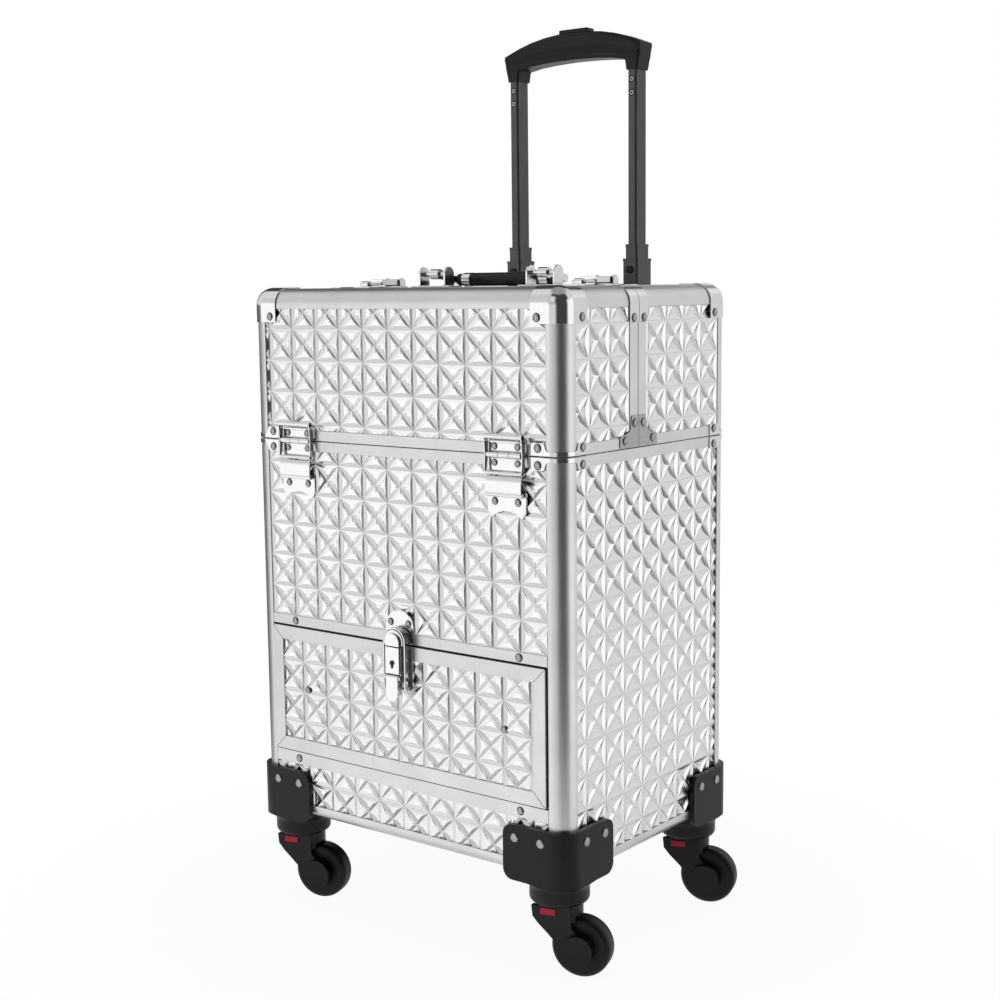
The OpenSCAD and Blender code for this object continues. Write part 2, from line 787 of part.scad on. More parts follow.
// The frame of one upper box, between its outer corners and the split
module top_frame(back) {
    rail_hw = open_hw - joint_gap;
    top_rail_z = z_top - top_rail_h;
    y_split = back ? rear_y : front_half_d;
    strip0 = back ? rear_y : front_half_d - split_rail_w;
    strip1 = strip0 + split_rail_w;
    y0 = back ? strip1 + joint_gap : post_leg + joint_gap;
    y1 = back ? case_d - post_leg - joint_gap : strip0 - joint_gap;
    for (side = [-1, 1])
        at_corner(side, back) translate([0, 0, z_up]) linear_extrude(top_rail_z - z_up - joint_gap) post_profile();
    if (back) {
        back_rail(-rail_hw, rail_hw, z_up) rail_profile(seam_rail_h, true, false);
        back_rail(-rail_hw, rail_hw, top_rail_z) top_rail_profile();
    } else {
        front_rail(-rail_hw, rail_hw, z_up) rail_profile(seam_rail_h, true, false);
        front_rail(-rail_hw, rail_hw, top_rail_z) top_rail_profile();
    }
    for (side = [-1, 1]) {
        side_rail(side, y0, y1, z_up) rail_profile(seam_rail_h, true, false);
        side_rail(side, y0, y1, top_rail_z) top_rail_profile();
        // upright strip beside the split
        translate([0, y_split, z_up]) mirror([0, back ? 0 : 1, 0])
            mirror([side > 0 ? 1 : 0, 0, 0]) translate([-hw, 0, 0])
                linear_extrude(top_rail_z - z_up - joint_gap) split_upright_profile();
        // the rounded end of the side rail beside the split
        side_rail(side, strip0, strip1, top_rail_z) split_end_profile();
    }
    // cross strip on top, beside the split
    translate([0, y_split, z_top]) mirror([0, back ? 0 : 1, 0])
        mirror([0, 0, 1]) along_x(-rail_hw, rail_hw) split_cross_profile();
}

// Seen from above on the left wall: X runs into the case, Y away from the split
module split_upright_profile() {
    difference() {
        square([rail_d, split_rail_w]);
        translate([lip_t, split_rail_w - groove_d]) square([panel_t, groove_d + 1]);
    }
}

module split_cross_profile() {
    difference() {
        square([split_rail_w, rail_d]);
        translate([split_rail_w - groove_d, lip_t]) square([groove_d + 1, panel_t]);
    }
}

module split_end_profile() {
    difference() {
        square([post_leg, top_rail_h]);
        translate([0, top_rail_h]) mirror([0, 1]) corner_cut(corner_r);
        translate([board_in + 2, -1]) square([post_leg, top_rail_h - rail_d + 1]);
        translate([lip_t, -1]) square([panel_t, groove_d + 1]);
        translate([post_leg - groove_d, top_rail_h - board_in]) square([groove_d + 1, panel_t]);
    }
}

module top_boards(back) {
    bw = hw - post_core - fit;
    z0 = z_up + seam_rail_h;
    z1 = z_top - top_rail_h;
    strip0 = back ? rear_y + split_rail_w : front_half_d - split_rail_w;
    end = back ? case_d - post_core - fit : post_core + fit;
    inner = back ? strip0 - groove_d + fit : strip0 + groove_d - fit;
    y0 = min(end, inner);
    y1 = max(end, inner);
    board_x(z0, z1, back);
    for (side = [-1, 1]) board_y(side, y0, y1, z0, z1);
    lid_y0 = back ? y0 : post_leg - groove_d + fit;
    lid_y1 = back ? case_d - post_leg + groove_d - fit : y1;
    lid_hw = hw - post_leg + groove_d - fit;
    translate([-lid_hw, lid_y0, z_top - board_in + fit])
        cube([2 * lid_hw, lid_y1 - lid_y0, panel_t - 2 * fit]);
}

// A block with a rounded corner and rounded edges; its origin is the outer corner, it grows inwards and down
module rounded_block(lx, ly, h, r) {
    difference() {
        translate([0, 0, -h]) cube([lx, ly, h]);
        translate([0, 0, -h - 1]) linear_extrude(h + 2) corner_cut(r);
        translate([-1, 0, 0]) along_x(0, lx + 2) mirror([0, 1]) corner_cut(r);
        translate([0, -1, 0]) mirror([0, 1, 0]) rotate([90, 0, 0]) linear_extrude(ly + 2) mirror([0, 1]) corner_cut(r);
        // the rounded corner itself
        difference() {
            translate([-1, -1, -r]) cube(r + 1);
            translate([r, r, -r]) sphere(r);
            translate([r, r, -r - 1]) cube(r + 2);
            translate([r, -2, -r - 1]) cube(0.001);
        }
    }
}

// A die-cast corner: it fills the corner of the frame, and its flanges lie on the faces
module corner_cap() translate([0, 0, z_top]) {
    fill = post_leg - joint_gap + fit;
    r = corner_r + fit;
    difference() {
        translate([-cap_t, -cap_t, cap_t])
            rounded_block(cap_l + cap_t, cap_l + cap_t, cap_h + cap_t, corner_r + cap_t);
        translate([-fit, -fit, -cap_h - 1]) linear_extrude(cap_h + 1 - corner_r) difference() {
            square(cap_l + 5);
            corner_cut(r);
        }
        translate([-fit, -fit, fit]) rounded_block(cap_l + 5, cap_l + 5, r + 0.01, r);
    }
    difference() {
        translate([-fit, -fit, fit]) rounded_block(fill, fill, top_rail_h + fit, r);
        translate([lip_t, lip_t, -post_leg * 2]) difference() {
            cube([post_leg, post_leg, post_leg * 2 - lip_t]);
            translate([-lip_t, -lip_t, 0]) cube([post_core, post_core, post_leg * 2]);
        }
    }
}

// A thin plate over the rounded edge, beside the split
module split_cap(side, dir) {
    y = dir < 0 ? front_half_d - 13 : rear_y;
    r = corner_r + cap_t;
    mirror([side > 0 ? 1 : 0, 0, 0]) translate([-hw - cap_t, 0, z_top - cap_h]) along_y(y, y + 13) difference() {
        square([cap_l + cap_t - 8, cap_h + cap_t]);
        translate([0, cap_h + cap_t]) mirror([0, 1]) corner_cut(r);
        difference() {
            translate([cap_t, -1]) square([cap_l + 5, cap_h + 1]);
            translate([cap_t, cap_h]) mirror([0, 1]) corner_cut(corner_r);
        }
    }
}

module front_top_frame() color("silver") top_frame(false);
module rear_top_frame() color("silver") top_frame(true);
module front_top_panels() color("gainsboro") top_boards(false);
module rear_top_panels() color("gainsboro") top_boards(true);

module rear_corner_caps() color("whitesmoke") for (side = [-1, 1]) {
    at_corner(side, true) corner_cap();
    split_cap(side, 1);
}

module front_corner_caps() color("whitesmoke") for (side = [-1, 1]) {
    at_corner(side, false) corner_cap();
    split_cap(side, -1);
    at_corner(side, false) corner_plate(z_up + 0.5, plate_h);
    split_plate(side, -1);
}

module front_rivets() color("darkgray") {
    for (x = [-1, 1]) {
        front_rivet(x * (hw - 24.4), z_up + 6.5, -plate_t);
        front_rivet(x * (hw - 24.5), z_top - 24, -cap_t);
        side_rivet(x, 24.4, z_up + 6.5, plate_t);
        side_rivet(x, 24, z_top - 24, cap_t);
        side_rivet(x, front_half_d - 6, z_up + 20, plate_t);
        side_rivet(x, front_half_d - 20, z_up + 6.5, plate_t);
        side_rivet(x, front_half_d - 7, z_top - 26, cap_t);
        for (dx = [-leaf_rivet_x, leaf_rivet_x])
            front_rivet(x * latch_pitch / 2 + dx, hinge_z + leaf_rivet_dz, -leaf_t, 2.4);
    }
}

// ---------------------------------------------------------------- front hinges and latches

module at_latch(side) translate([side * latch_pitch / 2, 0, 0]) children();

// Knuckles of a hinge round the pin axis
module knuckle(x0, x1, y, z, r, bore) difference() {
    shaft_x(x0, x1, y, z, r);
    shaft_x(x0 - 1, x1 + 1, y, z, bore);
}

module hinge_leaves() color("whitesmoke") for (side = [-1, 1]) at_latch(side) {
    for (x = [-leaf_hw, 5.3]) {
        knuckle(x, x + leaf_hw - 5.3, hinge_y, hinge_z, knuckle_r, pin_r + run_fit);
        translate([x, -leaf_t, hinge_z + 1.6]) cube([leaf_hw - 5.3, leaf_t, 4]);
    }
    translate([-leaf_hw, -leaf_t, hinge_z + 3]) cube([2 * leaf_hw, leaf_t, roll_z - hinge_z - 6]);
    // the nose that the latch frame's roll hooks over
    translate([-leaf_hw + 1, roll_y, roll_z - 4.6]) cube([2 * leaf_hw - 2, -roll_y, 1.6]);
}

module latch_plates() color("whitesmoke") for (side = [-1, 1]) at_latch(side) {
    knuckle(-5, 5, hinge_y, hinge_z, knuckle_r, pin_r - 0.3);
    translate([-5, -leaf_t, hinge_z - 5]) cube([10, leaf_t, 3.6]);
    translate([-leaf_hw, -leaf_t, hinge_z - 10.5]) cube([2 * leaf_hw, leaf_t, 7.5]);
    shaft_x(-leaf_hw - 0.5, leaf_hw + 0.5, hinge_y, hinge_z, pin_r);
    // base plate with its knuckle for the lever, standing on the board
    translate([-latch_w / 2 - 0.5, -leaf_t, latch_base_z0]) cube([latch_w + 1, leaf_t, 15.5]);
    translate([-latch_w / 2 + 2, 0, latch_base_z0 + 2]) cube([latch_w - 4, lip_t, 11]);
    knuckle(-7.7, 7.7, lever_pin_y, lever_pin_z, lever_roll_r, pin_r - 0.3);
    translate([-7.7, -leaf_t - 0.3, latch_base_z0 + 11]) cube([15.4, 0.8, 3.4]);
    shaft_x(-latch_w / 2 + 1, latch_w / 2 - 1, lever_pin_y, lever_pin_z, pin_r);
}

module latch_frame(side) color("white") at_latch(side) {
    shaft_x(-latch_w / 2, latch_w / 2, roll_y, roll_z, roll_r);
    for (x = [-latch_w / 2, latch_w / 2 - frame_bar])
        translate([x, roll_y - 1.6, latch_bar_z]) cube([frame_bar, 2.6, roll_z - latch_bar_z]);
    shaft_x(-latch_w / 2, latch_w / 2, roll_y - 0.3, latch_bar_z, 1.5);
}

module latch_lever(side) color("white") at_latch(side) {
    for (x = [-latch_w / 2 + 1, 8])
        knuckle(x, x + latch_w / 2 - 9, lever_pin_y, lever_pin_z, lever_roll_r, pin_r + run_fit);
    difference() {
        translate([-latch_w / 2 + 1, lever_pin_y - lever_roll_r, lever_pin_z])
            cube([latch_w - 2, 1.6, lever_top_z - lever_pin_z]);
        translate([-8, lever_pin_y - 5, lever_pin_z - 5]) cube([16, 10, 5 + lever_roll_r + 0.5]);
        shaft_x(-latch_w, latch_w, lever_pin_y, lever_pin_z, pin_r + run_fit);
    }
}

// ---------------------------------------------------------------- top latches

module at_toggle(side) translate([side * toggle_pitch / 2, rear_y, z_top]) children();

module toggle_bases() color("whitesmoke") for (side = [-1, 1]) at_toggle(side) {
    translate([-10, 3, 0]) cube([20, 34, leaf_t]);
    for (x = [-9.8, 8.2]) translate([x, toggle_pin_dy, 0]) {
        translate([0, -4, 0]) cube([1.6, 8, toggle_pin_h]);
        shaft_x(0, 1.6, 0, toggle_pin_h, 4);
    }
    shaft_x(-9, 9, toggle_pin_dy, toggle_pin_h, pin_r);
}

module toggle_lever(side) color("white") at_toggle(side) difference() {
    union() {
        shaft_x(-7.8, 7.8, toggle_pin_dy, toggle_pin_h, 3.2);
        translate([-7.8, loop_r + 3, leaf_t + 1]) cube([15.6, toggle_pin_dy - loop_r - 3, 5.4]);
    }
    shaft_x(-10, 10, toggle_pin_dy, toggle_pin_h, pin_r + run_fit);
    translate([-5.4, loop_r + 6, leaf_t]) cube([10.8, toggle_pin_dy - 13, 4.6]);
}

module toggle_keepers() color("whitesmoke") for (side = [-1, 1]) at_toggle(side)
    translate([0, -split_gap - loop_pin_dy, 0]) difference() {
        union() {
            translate([-10, -6, 0]) cube([20, 13, leaf_t]);
            shaft_x(-4.2, 4.2, 0, loop_pin_h, 2.8);
            translate([-4.2, -2.8, 0]) cube([8.4, 5.6, loop_pin_h]);
        }
        shaft_x(-11, 11, 0, loop_pin_h, loop_r + run_fit);
    }

module toggle_loop(side) color("white") at_toggle(side) {
    y0 = -split_gap - loop_pin_dy;
    y1 = loop_r + 1;
    shaft_x(-loop_hw, loop_hw, y0, loop_pin_h, loop_r);
    shaft_x(-loop_hw, loop_hw, y1, loop_pin_h, loop_r);
    for (x = [-loop_hw, loop_hw]) translate([x, y0, loop_pin_h]) {
        rotate([-90, 0, 0]) cylinder(h = y1 - y0, r = loop_r);
        sphere(loop_r);
        translate([0, y1 - y0, 0]) sphere(loop_r);
    }
}

// ---------------------------------------------------------------- carry handle

module handle_brackets() color("whitesmoke") for (side = [-1, 1])
    translate([side * handle_pitch / 2, handle_y, z_top]) {
        translate([-22, -9.5, 0]) cube([44, 19, leaf_t]);
        for (x = [-1, 1]) translate([x * handle_ear_x - handle_ear_t / 2, 0, 0]) {
            translate([0, -handle_ear_r, 0]) cube([handle_ear_t, 2 * handle_ear_r, handle_pin_h]);
            shaft_x(0, handle_ear_t, 0, handle_pin_h, handle_ear_r);
        }
        shaft_x(-handle_ear_x, handle_ear_x, 0, handle_pin_h, handle_pin_r);
    }

module carry_handle() color("silver") {
    ax = handle_pitch / 2;
    gy = handle_y + handle_reach;
    slope = atan2(handle_pin_z - grip_z, handle_reach);
    arm_l = sqrt(pow(handle_reach, 2) + pow(handle_pin_z - grip_z, 2));
    both_sides() difference() {
        union() {
            shaft_x(ax - 5, ax + 5, handle_y, handle_pin_z, handle_eye_r);
            translate([ax - 4, handle_y, handle_pin_z]) rotate([-slope, 0, 0])
                translate([0, 0, -2.5]) cube([8, arm_l, 5]);
            shaft_x(ax - 4, ax + 4, gy, grip_z, 3.6);
        }
        shaft_x(ax - 6, ax + 6, handle_y, handle_pin_z, handle_pin_r + run_fit);
    }
    shaft_x(-ax, ax, gy, grip_z, handle_bar_r);
    for (s = [-1, 1]) difference() {
        x0 = s > 0 ? grip_hl + fit : -grip_hl - ring_l;
        shaft_x(x0, x0 + ring_l - fit, gy, grip_z, grip_r + 0.3);
        shaft_x(x0 - 1, x0 + ring_l + 1, gy, grip_z, handle_bar_r - 0.5);
    }
}

module handle_grip() color("#1a1a1b") {
    gy = handle_y + handle_reach;
    difference() {
        union() {
            shaft_x(-grip_hl, grip_hl, gy, grip_z, grip_r);
            for (s = [-1, 1]) {
                x0 = s > 0 ? grip_hl + ring_l + fit : -grip_hl - ring_l - sleeve_l - fit;
                shaft_x(x0, x0 + sleeve_l, gy, grip_z, grip_r - 0.6);
            }
        }
        shaft_x(-case_w, case_w, gy, grip_z, handle_bar_r + run_fit);
    }
}

// ---------------------------------------------------------------- drawer

// One mitred bar of the drawer front, seen from the front: it lies along the lower edge
module mitred_bar(l, w) polygon([[joint_gap, 0], [l - joint_gap, 0], [l - w - joint_gap, w], [w + joint_gap, w]]);

module drawer_front_bars(w, y, t) {
    l = 2 * (open_hw - drawer_gap);
    h = drawer_open_h - 2 * drawer_gap;
    translate([-l / 2, y + t, open_z + drawer_gap]) rotate([90, 0, 0]) linear_extrude(t) {
        mitred_bar(l, w);
        translate([0, h]) mirror([0, 1]) mitred_bar(l, w);
        translate([0, h]) rotate(-90) mitred_bar(h, w);
        translate([l, 0]) rotate(90) mitred_bar(h, w);
    }
}

module drawer_front_frame() color("silver") {
    drawer_front_bars(drawer_frame_w, drawer_face_y, front_lip);
    drawer_front_bars(6, drawer_panel_y, panel_t);
}

module drawer_panel() color("gainsboro") {
    e = drawer_gap + 6 + fit;
    translate([-open_hw + e, drawer_panel_y + fit, open_z + e])
        cube([2 * (open_hw - e), panel_t - fit, drawer_open_h - 2 * e]);
}

module drawer_box() color("#d8d8da") {
    w = drawer_wall;
    difference() {
        translate([-drawer_hw, drawer_box_y, drawer_base_z])
            cube([2 * drawer_hw, drawer_back_y - drawer_box_y, drawer_wall_top - drawer_base_z]);
        translate([-drawer_hw + w, drawer_box_y + w, drawer_base_z + w])
            cube([2 * (drawer_hw - w), drawer_back_y - drawer_box_y - 2 * w, drawer_open_h]);
    }
    both_sides() translate([drawer_hw - 1, drawer_back_y - slider_l, runner_z - runner_slot / 2 + 0.4])
        cube([channel_x0 + runner_w - 1.6 - drawer_hw + 1, slider_l, runner_slot - 0.8]);
}

// A plate with a round top, seen from the front
module arch_plate(half_w, z0, z1, y0, y1) translate([0, y1, 0]) rotate([90, 0, 0]) linear_extrude(y1 - y0)
    intersection() {
        translate([-half_w, z0]) square([2 * half_w, z1 - z0]);
        union() {
            translate([-half_w, z0]) square([2 * half_w, z1 - half_w - z0]);
            translate([0, z1 - half_w]) circle(half_w);
        }
    }

module drawer_keeper() color("whitesmoke") {
    z0 = open_top + 0.5;
    arch_plate(15.5, z0, keeper_top_z, -1.5, 0);
    translate([-12, 0, high_rail_top + 1]) cube([24, lip_t, 12]);
    arch_plate(lock_hw, z0 - 0.8, dome_top_z, lock_y, -1);
    // the saddle under the bail's arch
    arch_plate(bail_hw - bail_t - 0.2, z0, bail_top_z - bail_t - 0.2, bail_y0 + 1, -1);
}

module drawer_latch_plate() color("whitesmoke") {
    inner = open_top - drawer_gap - drawer_frame_w;
    difference() {
        union() {
            translate([-15.5, drawer_face_y - 1.5, bail_pin_z - 2]) cube([31, 1.5, lock_z1 - bail_pin_z + 1]);
            translate([-13, drawer_face_y, bail_pin_z]) cube([26, front_lip + fit, inner - bail_pin_z - 2]);
            translate([-lock_hw, lock_y, lock_z0]) cube([2 * lock_hw, drawer_face_y - 1 - lock_y, lock_z1 - lock_z0]);
            // the cheeks that hold the lever's pin
            for (x = [-lock_hw - 0.9, lock_hw - 0.7]) {
                translate([x, drawer_pin_y, drawer_pin_z - 2.2]) cube([1.6, drawer_face_y - 1 - drawer_pin_y, 8]);
                shaft_x(x, x + 1.6, drawer_pin_y, drawer_pin_z, 2.2);
            }
        }
        // keyhole
        translate([0, lock_y + 5, lock_z0 + 9.5]) rotate([90, 0, 0]) cylinder(h = 6, r = 1.7);
        translate([-0.6, lock_y - 1, lock_z0 + 5.5]) cube([1.2, 6, 4]);
    }
    shaft_x(-lock_hw, lock_hw, drawer_pin_y, drawer_pin_z, pin_r);
}

module drawer_latch_lever() color("white") {
    w = lock_hw - 1.1;
    difference() {
        union() {
            shaft_x(-w, w, drawer_pin_y, drawer_pin_z, 2.5);
            // the tongue, narrower towards its end
            translate([0, tongue_y + tongue_t, 0]) rotate([90, 0, 0]) linear_extrude(tongue_t)
                polygon([[-w, drawer_pin_z], [-w, tongue_z0 + 5], [-w + 3, tongue_z0], [w - 3, tongue_z0],
                    [w, tongue_z0 + 5], [w, drawer_pin_z]]);
            // its two cheeks
            for (x = [-w, w - 1.8]) translate([x, 0, 0]) rotate([90, 0, 90]) linear_extrude(1.8)
                polygon([[tongue_y + 0.5, drawer_pin_z], [tongue_y + 0.5, bail_pin_z - 4],
                    [bail_pin_y + 1, bail_pin_z - 2.4], [bail_pin_y + 3, bail_pin_z + 2],
                    [drawer_pin_y + 2.4, drawer_pin_z]]);
        }
        shaft_x(-10, 10, drawer_pin_y, drawer_pin_z, pin_r + run_fit);
        shaft_x(-10, 10, bail_pin_y, bail_pin_z, bail_pin_r + run_fit);
    }
}

module drawer_bail() color("white") {
    inner_r = bail_hw - bail_t;
    difference() {
        arch_plate(bail_hw, bail_pin_z, bail_top_z, bail_y0, bail_y1);
        arch_plate(inner_r, bail_pin_z - 5, bail_top_z - bail_t, bail_y0 - 1, bail_y1 + 1);
        // the legs narrow towards their pins
        translate([-20, bail_pin_y + 2.2, bail_pin_z - 5]) cube([40, 10, 8]);
    }
    for (x = [-bail_hw, inner_r]) shaft_x(x, x + bail_t, bail_pin_y, bail_pin_z, 2.2);
    for (s = [-1, 1]) {
        x0 = s > 0 ? lock_hw - 2 : -inner_r - 0.1;
        shaft_x(x0, x0 + inner_r - lock_hw + 2.1, bail_pin_y, bail_pin_z, bail_pin_r);
    }
}

// ---------------------------------------------------------------- trays

// Swings a point of the arms back from upright
function arm_dy(l) = l * sin(arm_lean);
function arm_dz(l) = l * cos(arm_lean);

module tray_arm(y, l) {
    difference() {
        translate([arm_x - arm_t, y, arm_z0]) rotate([-arm_lean, 0, 0]) {
            translate([0, -arm_r, 0]) cube([arm_t, 2 * arm_r, l]);
            for (z = [0, l]) translate([0, 0, z]) rotate([0, 90, 0]) cylinder(h = arm_t, r = arm_r);
        }
        for (d = [0, arm_reach, arm_reach + arm_step])
            shaft_x(arm_x - arm_t - 1, arm_x + 1, y + arm_dy(d), arm_z0 + arm_dz(d),
                arm_pin_r + run_fit);
    }
}

module tray_arms_front() color("lightgray") both_sides() tray_arm(arm_y0, arm_reach + arm_step);
module tray_arms_rear() color("lightgray")
    both_sides() tray_arm(arm_y0 + arm_pitch, arm_reach + arm_step);

module tray(reach) {
    y0 = arm_y0 + arm_dy(reach) - tray_pin_dy;
    z0 = arm_z0 + arm_dz(reach) - tray_pin_dz;
    difference() {
        translate([-tray_hw, y0, z0]) cube([2 * tray_hw, tray_d, tray_h]);
        for (i = [0:2]) {
            cell = (2 * tray_hw - 4 * tray_t) / 3;
            translate([-tray_hw + tray_t + i * (cell + tray_t), y0 + tray_t, z0 + tray_t])
                cube([cell, tray_d - 2 * tray_t, tray_h]);
        }
    }
    both_sides() for (dy = [0, arm_pitch])
        shaft_x(tray_hw - 0.5, arm_x + 0.3, y0 + tray_pin_dy + dy, z0 + tray_pin_dz, arm_pin_r);
}

module tray_lower() color("#3a3a3d") tray(arm_reach);
module tray_upper() color("#3a3a3d") tray(arm_reach + arm_step);

// ---------------------------------------------------------------- all nodes

placed() base_frame();
placed() drawer_rails();
placed() base_panels();
placed() floor_boards();
placed() runner_channels();
placed() tray_brackets();
placed() corner_plates();
placed() base_rivets();
placed() castor_housings();
placed() trolley_outer_tubes();
placed() trolley_brackets();
placed() drawer_keeper();
placed() latch_plates();
placed() rear_top_frame();
placed() rear_top_panels();
placed() rear_corner_caps();
placed() toggle_bases();
placed() handle_brackets();
placed() front_top_frame();
placed() front_top_panels();
placed() front_corner_caps();
placed() hinge_leaves();
placed() toggle_keepers();
placed() front_rivets();
placed() latch_frame(-1);  // latch_frame_left
placed() latch_frame(1);  // latch_frame_right
placed() latch_lever(-1);  // latch_lever_left
placed() latch_lever(1);  // latch_lever_right
placed() toggle_lever(-1);  // toggle_lever_left
placed() toggle_lever(1);  // toggle_lever_right
placed() toggle_loop(-1);  // toggle_loop_left
placed() toggle_loop(1);  // toggle_loop_right
placed() drawer_box();
placed() drawer_front_frame();
placed() drawer_panel();
placed() drawer_latch_plate();
placed() drawer_latch_lever();
placed() drawer_bail();
placed() carry_handle();
placed() handle_grip();
placed() tray_arms_front();
placed() tray_arms_rear();
placed() tray_lower();
placed() tray_upper();
placed() trolley_mid();
placed() trolley_inner();
placed() trolley_grip();
placed() trolley_button();
placed() castor_fork(-1, false);  // castor_fork_fl
placed() castor_fork(1, false);  // castor_fork_fr
placed() castor_fork(-1, true);  // castor_fork_rl
placed() castor_fork(1, true);  // castor_fork_rr
placed() castor_wheel(-1, false);  // castor_wheel_fl
placed() castor_wheel(1, false);  // castor_wheel_fr
placed() castor_wheel(-1, true);  // castor_wheel_rl
placed() castor_wheel(1, true);  // castor_wheel_rr
placed() castor_button(-1, false);  // castor_button_fl
placed() castor_button(1, false);  // castor_button_fr
placed() castor_button(-1, true);  // castor_button_rl
placed() castor_button(1, true);  // castor_button_rr
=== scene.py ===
import math

import bmesh
import bpy
from mathutils import Matrix, Vector


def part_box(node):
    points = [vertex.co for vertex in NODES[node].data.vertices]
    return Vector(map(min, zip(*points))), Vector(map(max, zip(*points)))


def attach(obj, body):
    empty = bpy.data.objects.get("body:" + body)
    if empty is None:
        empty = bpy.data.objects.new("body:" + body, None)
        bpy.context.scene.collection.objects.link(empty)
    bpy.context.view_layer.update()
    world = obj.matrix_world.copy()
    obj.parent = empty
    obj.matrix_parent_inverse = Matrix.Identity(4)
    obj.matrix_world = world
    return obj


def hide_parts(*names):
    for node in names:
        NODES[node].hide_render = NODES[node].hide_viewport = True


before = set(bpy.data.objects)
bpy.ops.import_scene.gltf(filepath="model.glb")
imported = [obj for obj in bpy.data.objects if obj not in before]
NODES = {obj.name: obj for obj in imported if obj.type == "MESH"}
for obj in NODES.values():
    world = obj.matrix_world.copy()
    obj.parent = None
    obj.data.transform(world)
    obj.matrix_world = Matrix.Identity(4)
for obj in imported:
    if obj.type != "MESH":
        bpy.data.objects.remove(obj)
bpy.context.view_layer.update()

# Everything is drawn in millimetres in the case's own frame: X from its middle to the right,
# Y from its front face to the back, Z from the floor. TO_ROW carries that into the row's frame.
MM = 0.001
FRAME_LO, FRAME_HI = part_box("base_frame")
TO_ROW = Matrix.Translation(((FRAME_LO[0] + FRAME_HI[0]) / 2, FRAME_LO[1], 0)) @ Matrix.Scale(MM, 4)
CASE_HW = (FRAME_HI[0] - FRAME_LO[0]) / 2 / MM
CASE_D = (FRAME_HI[1] - FRAME_LO[1]) / MM
GROUND_Z = FRAME_LO[2] / MM
SEAM_Z = FRAME_HI[2] / MM
TOP_LO, TOP_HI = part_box("rear_top_frame")
UPPER_Z = TOP_LO[2] / MM
TOP_Z = TOP_HI[2] / MM
SPLIT_Y = (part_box("front_top_frame")[1][1] - FRAME_LO[1]) / MM
REAR_Y = (TOP_LO[1] - FRAME_LO[1]) / MM


def box_mm(node):
    """A CAD node's lowest and highest corner in the case's frame."""
    back = TO_ROW.inverted()
    lo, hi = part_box(node)
    return back @ Vector(lo), back @ Vector(hi)


# ------------------------------ materials


def linear(code):
    """A hex sRGB colour as linear RGBA."""
    parts = [int(code[i : i + 2], 16) / 255 for i in (1, 3, 5)]
    return [c / 12.92 if c <= 0.04045 else ((c + 0.055) / 1.055) ** 2.4 for c in parts] + [1.0]


WHITE = [1.0, 1.0, 1.0, 1.0]


def add(tree, kind, settings=None, inputs=None):
    """Adds a node: settings are its own properties, inputs are values or (node, output) links."""
    node = tree.nodes.new(kind)
    for key, value in (settings or {}).items():
        setattr(node, key, value)
    for key, value in (inputs or {}).items():
        if isinstance(value, tuple) and isinstance(value[0], bpy.types.Node):
            tree.links.new(value[0].outputs[value[1]], node.inputs[key])
        else:
            node.inputs[key].default_value = value
    return node


def new_material(name, **shader):
    material = bpy.data.materials.new(name)
    material.use_nodes = True
    tree = material.node_tree
    surface = tree.nodes["Principled BSDF"]
    for key, value in shader.items():
        surface.inputs[key.replace("_", " ")].default_value = value
    return material, tree, surface


def ramp_of(tree, source, low, high, start=0.3, end=0.7, output=0):
    """A ramp between two colours or two values, driven by another node's output."""
    ramp = add(tree, "ShaderNodeValToRGB", inputs={"Fac": (source, output)})
    first, last = ramp.color_ramp.elements
    first.position, last.position = start, end
    first.color = low if isinstance(low, list) else [low, low, low, 1]
    last.color = high if isinstance(high, list) else [high, high, high, 1]
    return ramp


def eased(tree, source, output, low, high, start, end):
    """A smooth change from start to end while a node's output goes from low to high."""
    return add(tree, "ShaderNodeMapRange", {"interpolation_type": "SMOOTHSTEP"}, {
        "Value": (source, output), "From Min": low, "From Max": high, "To Min": start, "To Max": end})


def maths(tree, operation, *values):
    """Arithmetic on values or (node, output) links."""
    return add(tree, "ShaderNodeMath", {"operation": operation}, dict(enumerate(values)))


def either(tree, source, output, first, second):
    """The first surface or light where a node's output is 0, the second where it is 1."""
    return add(tree, "ShaderNodeMixShader", inputs={
        "Fac": (source, output), 1: (first, 0), 2: (second, 0)})


def noise(tree, per_mm, detail):
    """Noise fixed to the piece, with so many grains per millimetre in all directions, or along
    x, y and z."""
    scales = per_mm if isinstance(per_mm, tuple) else (per_mm,) * 3
    place = add(tree, "ShaderNodeTexCoord")
    stretched = add(tree, "ShaderNodeMapping", inputs={
        "Vector": (place, "Object"), "Scale": [scale / MM for scale in scales]})
    return add(tree, "ShaderNodeTexNoise", inputs={
        "Vector": (stretched, 0), "Scale": 1.0, "Detail": detail})


def coated(tree, surface, tone, gloss, output=0):
    """Gives a surface its colour and its roughness."""
    tree.links.new(tone.outputs[output], surface.inputs["Base Color"])
    tree.links.new(gloss.outputs[0], surface.inputs["Roughness"])


def bumped(tree, surface, height, strength, depth_mm):
    bump = add(tree, "ShaderNodeBump", inputs={
        "Height": (height, 0), "Strength": strength, "Distance": depth_mm * MM})
    tree.links.new(bump.outputs[0], surface.inputs["Normal"])


def anodised_aluminium():
    """Extruded and satin anodised: pale, with soft reflections and faint lines from the die."""
    material, tree, surface = new_material("anodised_aluminium", Metallic=1.0)
    lines = noise(tree, (1.6, 1.6, 0.02), 2.0)
    tone = ramp_of(tree, noise(tree, 0.03, 3.0), linear("#DCDCDD"), linear("#E6E6E7"))
    coated(tree, surface, tone, ramp_of(tree, lines, 0.34, 0.42))
    bumped(tree, surface, lines, 0.12, 0.02)
    return material


STITCH_PITCH = 1.3  # from one mark to the next, in millimetres


